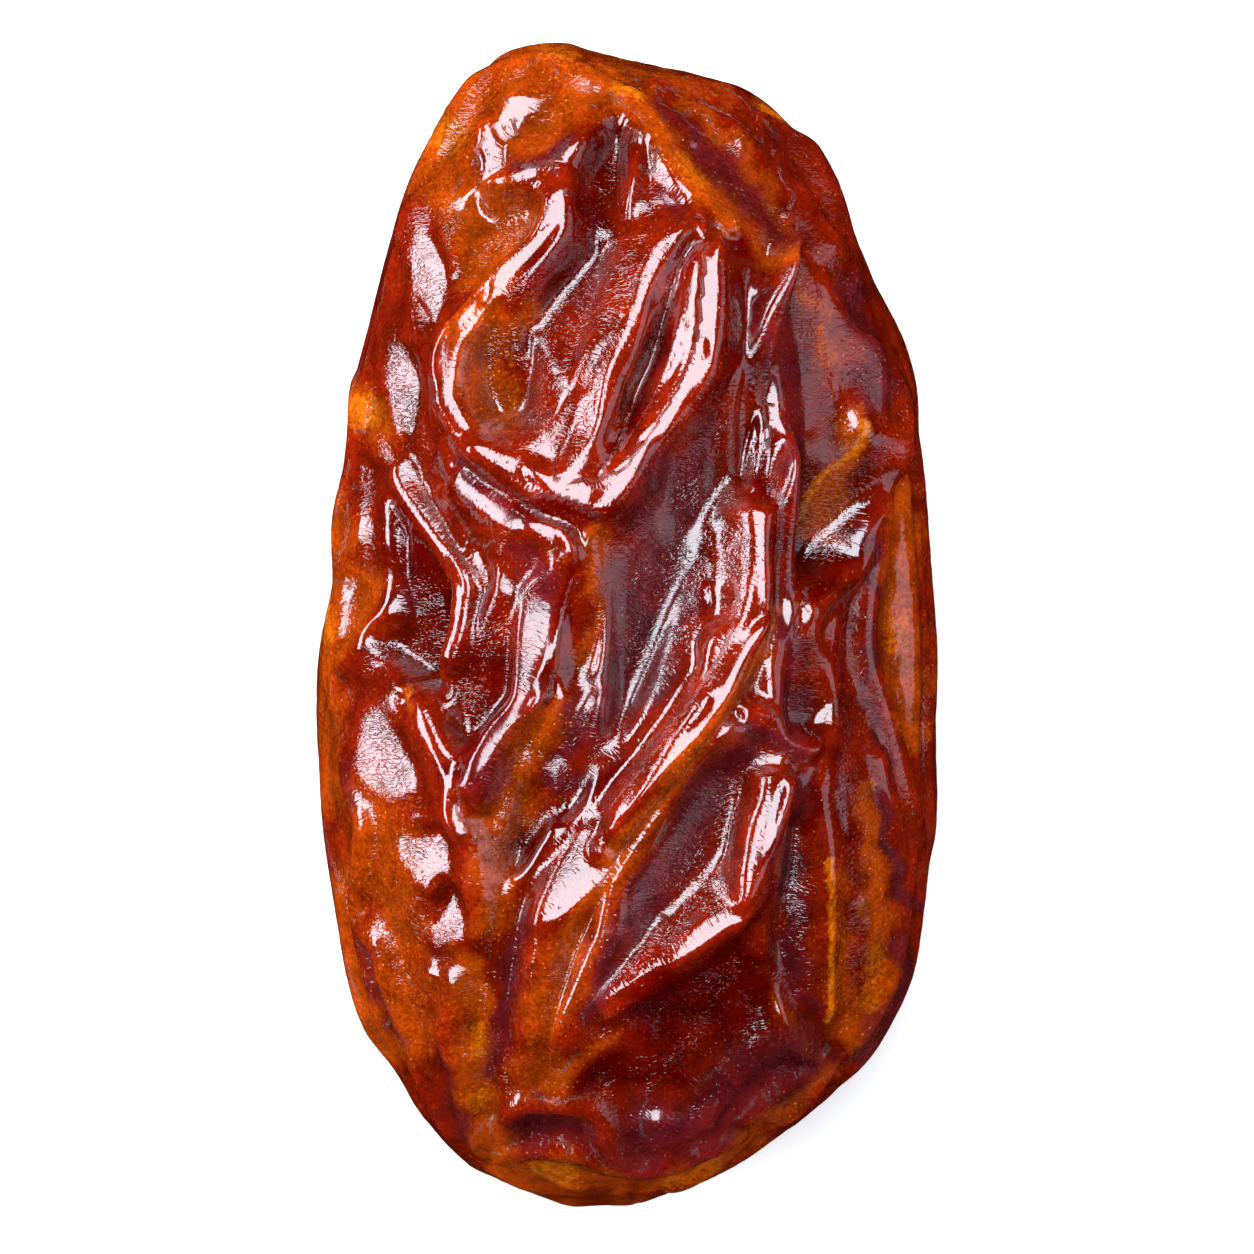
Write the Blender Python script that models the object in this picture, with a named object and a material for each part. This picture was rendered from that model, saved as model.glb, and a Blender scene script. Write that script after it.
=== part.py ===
"""A ripe, dried date fruit lying on its side: one closed, deeply folded body.

The body is a rounded shape inside an outline seen from above. Folds of the shrunken skin are raised
from it along their crest lines, creases are cut into it, and the underside rests on a small flat spot.
Lines and places are in millimetres, seen from above: +X is right, +Y is towards the upper end.
The finished mesh is in metres, +Z up, with its origin under the middle of the fruit.
"""

import math

import bmesh
import bpy
import numpy as np

MM = 0.001

# Driving dimensions of the body, in millimetres
HALF_WIDTH = 12.45
HALF_LENGTH = 23.3
EQUATOR_HEIGHT = 10.3
TOP_HEIGHT = 10.2
UNDER_HEIGHT = 10.7
FULLNESS_ACROSS = 2.15
FULLNESS_ALONG = 2.6
SKIN_DROP = 0.5
RIM_RELIEF = 0.2
RIM_BELT = 2.6
FLANK_CURVE = 1.7
MERGE = 0.15

# The top of a fold is a narrow level band, rounded at its edges: shares of the fold's height
TOP_BAND = 0.26
TOP_ROUNDING = 0.27
LEAST_ROUNDING = 0.08
SIDE_BLEND = 0.25
LEVEL_REACH = 0.8
FADE_START = 0.35

# A taut fold's top lies level where the body's normal leans less than the first, and keeps the body's
# slope where it leans more than the second: across the fruit, and along it
LEVEL_ACROSS = (0.48, 0.56)
LEVEL_ALONG = (0.62, 0.8)

# Belts round the body over which its rules fade in: two heights above the equator, in millimetres
UPPER_BELT = (-3.5, -0.5)
PATCH_BELT = (-1.0, 2.0)
FACET_BELT = (3.2, 5.6)
UNDER_BELT = (5.0, 2.0)

# The spot it rests on, in millimetres
REST_HALF_WIDTH = 3.8
REST_HALF_LENGTH = 7.2
REST_SOFTNESS = 2.3
REST_CUT = 0.3

# The stem scar at the lower end, in millimetres
SCAR_PLACE = (-0.8, -22.6, 7.6)
SCAR_RADIUS = 2.1
SCAR_DEPTH = 0.8
SCAR_PIT_SHARE = 0.6
SCAR_RIM = 0.35
SCAR_RIM_SHARE = 0.35

# Gentle unevenness of the whole body: height, waves along X, Y and Z in radians per millimetre, shift
LUMPS = (
    (0.16, 0.42, 0.31, 0.0, 0.9),
    (0.12, 0.0, -0.36, 0.55, 2.1),
    (0.10, 0.7, 0.23, -0.5, 0.0),
)

# Fineness of the mesh
SPHERE_LEVEL = 7
KEPT_TRIANGLES = 11400
PATH_STEP = 0.35
SMOOTH_FACTOR = 0.5
SMOOTH_ROUNDS = 3

# Folds of the hidden underside follow a rule with seeded draws, and reach up the sides. Heights and
# flanks are in millimetres, turns in radians round the body's length, ends as shares of its half length
UNDER_SEED = 11
UNDER_STEP = 0.5
UNDER_FADE = 2.0
UNDER_FOLDS = 21
UNDER_TURN = 0.42
UNDER_HEIGHTS = (0.8, 1.3)
UNDER_FLANKS = (1.0, 1.8)
UNDER_ENDS = (0.72, 0.97)
UNDER_BROKEN_ENDS = (0.1, 0.6)
UNDER_SWAY = (0.03, 0.1)
UNDER_WAVES = (2.5, 9.0)
BRANCHES = 60
BRANCH_HEIGHTS = (0.45, 0.75)
BRANCH_FLANK = 1.2
BRANCH_LENGTH = (0.12, 0.32)
DIPS = 90
DIP_DEPTHS = (-0.55, 0.35)
DIP_SIZES = (1.2, 2.4)
DIP_STRETCH = (1.4, 2.8)

# Short folds gather towards each end of the body
GATHERS = 13
GATHER_HEIGHTS = (0.4, 0.7)
GATHER_FLANK = 1.1
GATHER_TIPS = (0.972, 0.993)
GATHER_FEET = (0.80, 0.90)
GATHER_SWAY = 0.2
GATHER_FADE = 1.2

SKIN_COLOUR = (0.17, 0.022, 0.006, 1.0)
SKIN_ROUGHNESS = 0.3

# The outline from above, clockwise from the upper end
OUTLINE = [
    (-3.1, 23.28), (0, 22.75), (3, 21.95), (5, 21.35), (5.9, 20.8), (7, 19.55), (8.1, 17.9),
    (9, 15.7), (9.9, 13.6), (11.05, 11.2), (11.5, 9.6), (11.62, 7.8), (11.8, 5.2), (12.05, 2.5),
    (12.3, 0), (12.48, -5.5), (12.4, -8.2), (11.95, -10), (11.65, -12.2), (11.3, -14.2),
    (10.6, -15.9), (9.3, -18), (8, -19.35), (6, -20.8), (4.2, -21.95), (1.8, -22.98),
    (-1, -23.33), (-3, -23.25), (-5, -22.7), (-6.4, -21.9), (-8.2, -20), (-9.4, -17.9),
    (-10.5, -16.4), (-11.3, -14.3), (-11.95, -11), (-12.4, -7), (-12.44, -4), (-12.15, 0),
    (-11.85, 1.3), (-11.85, 4.2), (-11.3, 6.8), (-11.15, 9.2), (-10.45, 12), (-9.65, 15),
    (-8.5, 18.5), (-6.8, 21.3), (-5, 22.85),
]

# Each fold: height, width of its left flank, width of its right flank, fade at its two ends, crest line
FOLDS = {
    "cup rim": (1.3, 2.3, 1.7, (0.8, 1.5), [
        (-5.65, 17.07), (-5.0, 17.5), (-4.2, 17.75), (-3.5, 17.65), (-3.0, 17.3), (-2.75, 16.7),
        (-2.85, 16.0), (-3.5, 15.0), (-4.5, 14.0), (-5.4, 13.0), (-6.25, 12.0), (-6.75, 11.0),
        (-6.87, 10.0), (-6.8, 9.0), (-6.5, 8.0), (-6.0, 7.1), (-5.0, 6.3), (-4.0, 5.85),
        (-3.0, 5.4), (-2.0, 5.1), (-1.3, 4.85), (-0.6, 5.1), (0.15, 6.0), (0.85, 7.0),
        (1.6, 8.0), (2.3, 9.0), (2.8, 10.0), (3.05, 11.0), (3.15, 12.5), (3.3, 14.2),
        (3.5, 15.4)]),
    "cup rim upper limb": (0.9, 0.9, 1.8, (0.2, 1.0), [
        (-2.75, 17.0), (-2.45, 17.8), (-2.2, 18.6), (-1.8, 19.3), (-1.2, 20.1)]),
    "cup inner crest": (1.1, 0.9, 3.2, (0.8, 0.8), [
        (3.5, 15.2), (2.3, 15.05), (1.7, 14.6), (1.05, 13.28), (0.48, 11.96), (0, 10.76),
        (-0.54, 9.62), (-0.78, 8.36), (-0.96, 7.22), (-1.47, 6.45), (-2.43, 5.59)]),
    "cup second crest": (0.9, 1.1, 0.8, (1.2, 0.8), [
        (2.6, 14.6), (2.5, 13), (2.25, 11.5), (1.8, 10), (1.2, 8.6), (0.5, 7.3), (-0.3, 6.3)]),
    "long middle crest": (1.2, 0.85, 1.5, (0.8, 1.2), [
        (5.2, 4.9), (5.3, 3.25), (5.15, 1.6), (4.8, 0.0), (4.4, -1.2), (3.8, -2.4),
        (3.15, -3.4), (2.5, -4.4), (1.75, -5.4), (1.05, -6.3), (0.35, -7.1), (-0.25, -8.0),
        (-0.9, -8.9)]),
    "middle crest foot": (1.0, 1.6, 1.8, (1.2, 3.0), [
        (-0.6, -8.6), (-1.2, -9.4), (-2.3, -10.8), (-3.2, -12.2), (-3.8, -15), (-4.3, -17.4)]),
    "long middle shoulder": (0.22, 1.0, 1.3, (1.0, 1.5), [
        (3.6, 1.2), (3.3, 0.3), (3, -0.8), (2.4, -1.8), (0.9, -3.9),
        (-0.6, -5.8), (-2.3, -7.7), (-3.7, -9.3), (-4.8, -11.2), (-5.2, -13.4), (-5.5, -16.6)]),
    "hollow lip": (0.95, 1.7, 0.9, (0.4, 2.0), [
        (4.48, -3.9), (3.66, -4.85), (2.27, -6.76), (0.71, -8.75), (-0.33, -10.2), (-0.87, -12.3),
        (-1.47, -13.7), (-2.25, -15.6), (-2.8, -17.5)]),
    "hollow arch": (0.85, 1.2, 1.0, (0.2, 0.2), [
        (4.3, -3.85), (5.05, -3.81), (6.09, -4.25), (7.13, -4.85), (7.5, -5.3)]),
    "hollow inner ridge": (1.1, 1.2, 1.5, (0.8, 1.0), [
        (6.1, -5.8), (5.85, -7.0), (5.55, -8.3), (5.2, -9.6), (4.85, -10.8), (4.3, -11.6),
        (3.3, -12.35), (2.2, -13.2), (1.0, -14.0), (-0.1, -14.7), (-1.4, -15.5)]),
    "left plate edge": (1.05, 0.8, 2.8, (0.5, 1.2), [
        (-7.02, 6.02), (-6.07, 5.07), (-4.94, 4.37), (-3.73, 3.77), (-2.6, 3.16), (-2.42, 2.03),
        (-2.82, 0.73), (-3.12, -0.52), (-3.34, -1.9), (-3.8, -2.95), (-4.94, -3.99),
        (-5.63, -5.37), (-6.07, -6.67), (-6.41, -7.37)]),
    "feathered rib": (0.4, 1.0, 0.8, (0.4, 1.5), [
        (-2.95, 4.6), (-1.8, 4), (-1.55, 3.3), (-1.8, 2.5), (-2.2, 0.8), (-2.5, -1.2),
        (-2.7, -2.8), (-3.4, -4.4)]),
    "pale crest": (0.6, 0.7, 0.9, (1.0, 0.6), [
        (-8.02, 11.65), (-7.8, 10.27), (-7.58, 8.8), (-7.45, 7.5), (-7.1, 5.93), (-6.67, 4.55),
        (-5.9, 3.5)]),
    "left white ridge": (0.8, 0.9, 1.1, (0.8, 1.0), [
        (-9.6, 6.6), (-9.1, 4.9), (-8.4, 3.85), (-7.7, 2.8), (-6.8, 1.6), (-6.8, 0.82),
        (-6.95, -0.4), (-7.5, -1.95)]),
    "left short ridge": (0.45, 0.8, 1.0, (0.5, 0.8), [
        (-8, 5.4), (-7.2, 4.2), (-6.5, 3), (-5.5, 2.6), (-4.8, 2.2)]),
    "pocket ridge": (0.35, 1.0, 1.4, (0.8, 0.4), [
        (-8.67, 2.64), (-7.89, 1.5), (-7.5, 0.3), (-7.6, -0.9), (-8.15, -1.73), (-9.1, -2.43),
        (-9.4, -3)]),
    "left lobe": (0.7, 1.2, 1.2, (0.8, 0.6), [
        (-9.97, 5.4), (-9.97, 4.2), (-9.9, 2.4), (-9.9, 0.9), (-10.49, -0.22), (-11.27, -1.3),
        (-11.8, -1.78)]),
    "left lobe rim": (0.5, 1.0, 1.0, (0.6, 0.5), [
        (-11.3, 6.63), (-11.16, 4.9), (-11.22, 3.16), (-11.57, 1.69), (-11.85, 1.1)]),
    "knot strip": (0.75, 1.0, 1.2, (0.3, 1.0), [
        (-8.67, -2.69), (-8.06, -3.99), (-7.37, -5.1), (-6.9, -6.24), (-6.85, -7.63), (-6.2, -9)]),
    "knot strip foot": (0.6, 1.0, 1.2, (0.5, 1.0), [
        (-6.4, -8.4), (-6.1, -11.1), (-6.37, -12.9)]),
    "upper beaded crest": (0.65, 1.3, 1.0, (0.4, 1.0), [
        (-5.65, 17.07), (-4.9, 17.9), (-3.9, 18.5), (-2.76, 19.08), (-1.62, 19.98),
        (-0.66, 20.3), (0.24, 19.8), (1.08, 19.02)]),
    "upper rim": (0.5, 1.2, 1.2, (1.0, 0.5), [
        (-6.3, 22), (-4.5, 22.47), (-3, 22.41), (-1.5, 21.75), (-0.06, 20.94), (0.72, 20.64)]),
    "hook": (0.6, 1.2, 1.2, (0.6, 0.6), [
        (-4.2, 21.3), (-5, 20.3), (-5.7, 19.4), (-6.1, 18.3), (-5.65, 17.1)]),
    "left rim": (0.6, 1.1, 1.0, (1.0, 1.0), [
        (-5.1, 20.6), (-6.3, 19.2), (-7.2, 18.0), (-8.4, 17), (-9, 15.6), (-9.45, 14.2),
        (-10, 12.7), (-10.45, 11), (-10.7, 9.6), (-11.1, 8.3)]),
    "left rim branch": (0.3, 0.8, 0.5, (0.2, 0.8), [
        (-6.75, 18.5), (-6.8, 17.3), (-6.5, 16.4), (-6.75, 15.4)]),
    "short facet ridge": (0.5, 0.8, 0.9, (0.4, 0.5), [
        (0.4, 19.1), (0.06, 17.7), (-0.54, 16.38)]),
    "amber spine": (0.7, 1.3, 1.1, (0.6, 0.5), [
        (-0.5, 21.3), (0.8, 20.1), (1.67, 18.45), (2.5, 16.98), (3.83, 15.77), (4.18, 15.2)]),
    "spine rib": (0.35, 0.8, 0.8, (0.6, 0.8), [
        (0.93, 20.8), (2.19, 19.93), (3.2, 18.9)]),
    "right lip top": (0.22, 1.3, 0.8, (1.0, 1.0), [
        (4.4, 15.3), (5.0, 13.7), (5.5, 12.1), (5.95, 10.6), (6.2, 9.1), (6.3, 7.84)]),
    "right lip": (0.5, 1.3, 0.9, (2.0, 0.3), [
        (6.2, 8.6), (6.3, 7.84), (6.6, 6.2),
        (6.69, 4.2), (6.5, 2.2), (6.69, 1.17), (6.2, -0.15), (5.78, -1.9), (6.04, -3.38),
        (6.95, -4.42), (7.5, -5.2), (7.04, -6.41), (6.35, -7.45), (6.04, -9.36), (5.61, -11.44),
        (5.35, -12.7), (5.83, -14.64), (6.87, -16.63), (7.82, -17.6), (8.75, -17.9)]),
    "upper right rim": (0.4, 0.9, 0.9, (0.6, 0.8), [
        (0.63, 21.66), (2.6, 21.57), (3.83, 21.5), (5.05, 20.9)]),
    "upper right streak": (0.22, 0.5, 0.5, (1.0, 1.0), [
        (1.6, 21.2), (3.4, 20.5), (5.0, 19.1), (6.3, 17.2)]),
    "upper right second streak": (0.2, 0.5, 0.5, (1.0, 1.0), [
        (3.0, 21.3), (5.0, 20.1), (6.7, 18.4), (7.8, 16.4)]),
    "upper right edge": (0.45, 0.9, 1.1, (0.6, 1.0), [
        (5.05, 20.4), (6.6, 19.75), (7.47, 18.8), (8.34, 17), (8.73, 15.68), (9.73, 13.77)]),
    "right rim ridge": (0.8, 1.2, 1.6, (1.2, 1.0), [
        (6.52, 17.76), (7.13, 16.55), (7.9, 15.4), (8.95, 14.3), (10.25, 12.65), (10.85, 11.1),
        (11.1, 9.3), (10.9, 7.4), (10.1, 5.5), (9.77, 3.25), (9.2, 2.03), (8.08, 1.25),
        (7.04, 0.13)]),
    "right side crest": (0.65, 1.0, 1.3, (0.8, 0.8), [
        (10.25, 5.67), (10.3, 3.16), (10.05, 0.5), (10.1, -1.4), (10.85, -3.8), (11.46, -6.4),
        (11.85, -8.2), (11.76, -9.5)]),
    "right side second": (0.45, 0.8, 0.9, (0.8, 0.8), [
        (10.3, -4.85), (10.64, -6.76), (11.07, -8.5), (11.33, -10.2)]),
    "right side rim": (0.4, 0.9, 0.9, (0.8, 0.8), [
        (11.7, 4.4), (11.76, 2.3), (12.1, -0.3), (12.37, -3), (12.3, -4.5)]),
    "lower right rim": (0.5, 0.9, 1.2, (0.8, 0.2), [
        (11.16, -12.9), (11.0, -14.4), (10.25, -16.03), (8.95, -17.93)]),
    "lower right fold": (0.5, 0.8, 1.0, (0.2, 0.8), [
        (8.69, -18.02), (7.21, -18.63), (6.09, -19.4), (4.53, -20.45)]),
    "lower right edge": (0.5, 0.8, 0.7, (0.2, 0.8), [
        (8.86, -18.37), (7.3, -19.4), (5.91, -20.6), (5.13, -21.3)]),
    "gold line": (0.3, 0.9, 0.9, (0.8, 0.8), [
        (9.38, 1.95), (8.86, 0.73), (8.3, -1.56), (8, -4.2), (7.78, -6.9), (8.2, -9.8),
        (8.34, -12.7), (8.38, -16.2)]),
    "right facet crest": (0.3, 1.2, 0.8, (0.8, 0.8), [
        (7.6, 14.0), (8.17, 12.04), (8.5, 10.87), (8.9, 9.4), (9.55, 7.15)]),
    "lower left rim": (0.55, 0.9, 0.9, (0.8, 0.8), [
        (-11.66, -4.85), (-11.1, -6.76), (-10.73, -8.06), (-11.05, -10.2), (-11.2, -11.9),
        (-10.75, -13.95), (-10.3, -15.7), (-9.45, -17.5)]),
    "lower left outer": (0.4, 0.8, 0.8, (0.6, 0.4), [
        (-12.26, -7.8), (-11.87, -9.45), (-11.27, -10.9)]),
    "lower left second": (0.6, 1.1, 0.9, (0.6, 0.6), [
        (-11.1, -12.2), (-10.4, -12.9), (-9.88, -14.64), (-9.27, -16.37), (-8.58, -18.6),
        (-7.9, -20), (-7.45, -20.8)]),
    "lower left third": (0.6, 1.0, 0.9, (0.6, 0.4), [
        (-8.45, -14.1), (-7.45, -14.3), (-7.35, -15.3), (-7.6, -16.6), (-7.24, -17.85),
        (-6.98, -19.15), (-6.46, -20.97), (-6.2, -21.8)]),
    "lower arc": (0.6, 1.0, 1.2, (0.6, 0.8), [
        (-3.2, -19.06), (-2.34, -18.37), (-1.56, -17.5), (-0.52, -16.9), (0.4, -16.8)]),
    "lozenge rim": (0.5, 0.8, 0.8, (0.4, 0.4), [
        (-5.37, -21.14), (-5.03, -20), (-4.07, -19.52), (-1.73, -19.67), (-1.08, -20.36),
        (-0.7, -21.4), (-0.09, -22.05)]),
    "lower end rim": (0.5, 0.9, 0.8, (0.5, 0.8), [
        (-5.55, -22), (-4.68, -21.66), (-2, -21.75), (-0.87, -22.14), (1.06, -22.05),
        (2.88, -21.44), (4.7, -20.8), (5.2, -20.5)]),
    "lower faint ridge": (0.35, 0.9, 0.9, (0.8, 0.8), [
        (4.5, -16.3), (3.2, -17.9), (1.9, -19), (0.9, -20.3)]),
    "lower faint second": (0.35, 0.8, 0.8, (0.6, 0.6), [
        (5.6, -17.6), (4.5, -18.4), (3.4, -19.9), (2.9, -20.5)]),
    "small tongue": (0.35, 0.7, 0.7, (0.6, 0.6), [
        (4.5, 10), (4.9, 9), (5.3, 7.6)]),
}

# Folds whose tops are pulled taut and lie level
LEVEL_FOLDS = (
    "cup rim", "cup rim upper limb", "cup inner crest", "cup second crest", "long middle crest",
    "hollow inner ridge", "left white ridge", "knot strip",
)

# Each crease: depth, width of its left flank, width of its right flank, fade at its two ends, its line
CREASES = {
    "cup valley": (0.35, 0.5, 0.5, (0.6, 0.6), [
        (2.9, 15.0), (2, 14.5), (1.5, 13.6), (1.2, 12.5), (0.9, 11), (0.6, 10), (0.2, 9),
        (-0.3, 8), (-0.8, 6.8)]),
    "cup outer crease": (0.4, 0.6, 0.9, (0.8, 0.8), [
        (-4.6, 14.2), (-5.3, 13.4), (-6.4, 12.5), (-7.0, 11.5), (-7.3, 10.6)]),
    "plate crease": (0.5, 0.4, 0.4, (0.5, 0.8), [
        (-2.2, 2.3), (-2.4, 0.8), (-2.8, -0.6), (-3.0, -1.8), (-3.4, -2.9)]),
    "long right crease": (0.22, 0.6, 0.9, (0.6, 0.8), [
        (3.75, 15.4), (4.3, 13.9), (4.8, 12.2), (5.3, 10.6), (5.7, 9.1), (5.9, 7.8), (6.0, 6)]),
    "facet crease": (0.35, 0.7, 0.5, (0.8, 0.8), [
        (5.57, 14.64), (7.13, 13.6), (7.6, 12.5), (7.75, 10.9), (8.4, 9.4), (9.0, 7.84),
        (9.1, 6.6), (8.5, 5.76), (7.82, 4.2)]),
    "arch crease": (0.3, 0.6, 0.6, (0.5, 0.5), [
        (0.1, 15.9), (1.5, 16.4), (2.3, 16.5)]),
    "right pinch": (0.45, 0.9, 0.7, (0.8, 0.3), [
        (7.0, -7.5), (6.7, -10), (6.3, -12), (6.6, -14.5), (7.6, -16.6), (8.5, -17.6)]),
    "lower channel": (0.35, 0.9, 0.9, (1.5, 0.8), [
        (-4.1, -10.2), (-4.6, -13), (-4.9, -16), (-5.0, -18.6)]),
    "amber channel": (0.35, 0.8, 0.8, (1.0, 0.8), [
        (-5.9, -13), (-6.2, -15.5), (-6.2, -18), (-5.9, -20.5)]),
    "right dark band": (0.45, 0.8, 0.6, (0.6, 0.6), [
        (9.4, 3.0), (8.3, 2.3), (7.3, 1.6), (6.9, 1.2)]),
}

# Each hollow: middle x and y, half length, half width, turn of its length from +Y in degrees, depth
HOLLOWS = {
    "left dish": (-4.9, 15.3, 2.2, 1.1, -25, 0.75),
    "cup floor": (-5.0, 10.2, 3.0, 1.3, -3, 1.1),
    "upper hollow": (-1.1, 17.2, 2.6, 0.8, -6, 0.7),
    "upper hollow foot": (-2.3, 13.6, 1.8, 1.0, -12, 0.5),
    "middle hollow": (1.6, 1.4, 5.0, 1.7, -14, 0.85),
    "plum hollow": (2.8, -7.8, 3.4, 1.4, -38, 0.8),
    "lower hollow": (2.6, -15.3, 3.4, 1.7, -60, 0.7),
    "oval hollow": (0.9, -18.4, 2.9, 1.2, 75, 0.5),
    "lozenge": (-3.2, -20.7, 1.0, 1.7, 0, 0.4),
    "red pocket": (-8.8, 0.8, 2.8, 1.1, 0, 0.75),
    "right trough": (7.2, -9.5, 4.8, 0.9, -3, 0.55),
    "right upper trough": (7.8, 7.6, 3.2, 1.0, 16, 0.5),
    "channel": (-5.0, -14.0, 5.0, 0.9, -8, 0.4),
    "upper dimple": (-3.9, 20.8, 0.5, 0.5, 0, 0.25),
    "knot pit": (-9.2, -3.1, 0.6, 0.5, 0, 0.45),
    "right pit": (8.7, -17.9, 0.9, 0.7, -50, 0.5),
    "orange trough": (9.2, -12.6, 3.6, 0.9, 0, 0.35),
}

# Each swell: as a hollow, with its height
SWELLS = {
    "cup facet": (-1.4, 9.4, 3.2, 1.4, -16, 0.3),
    "shoulder plate": (-8.2, 14.6, 3.0, 1.0, 4, 0.3),
    "left cheek": (-9.2, 9.4, 3.2, 0.9, 5, 0.25),
    "lower left facet": (-9.8, -5.4, 1.9, 1.3, 35, 0.35),
    "lower left knoll": (-8.0, -9.2, 2.0, 1.3, 10, 0.3),
    "plate": (-5.2, 0.4, 3.8, 1.6, -8, 0.3),
    "white patch": (-2.4, -9.7, 2.0, 0.9, -38, 0.25),
    "upper dome": (-3.2, 21.2, 2.0, 3.0, 0, 0.2),
    "right facet": (6.2, 17.0, 4.0, 1.2, 36, 0.25),
    "right lower facet": (9.5, 10.8, 3.2, 0.9, 18, 0.25),
}


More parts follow.
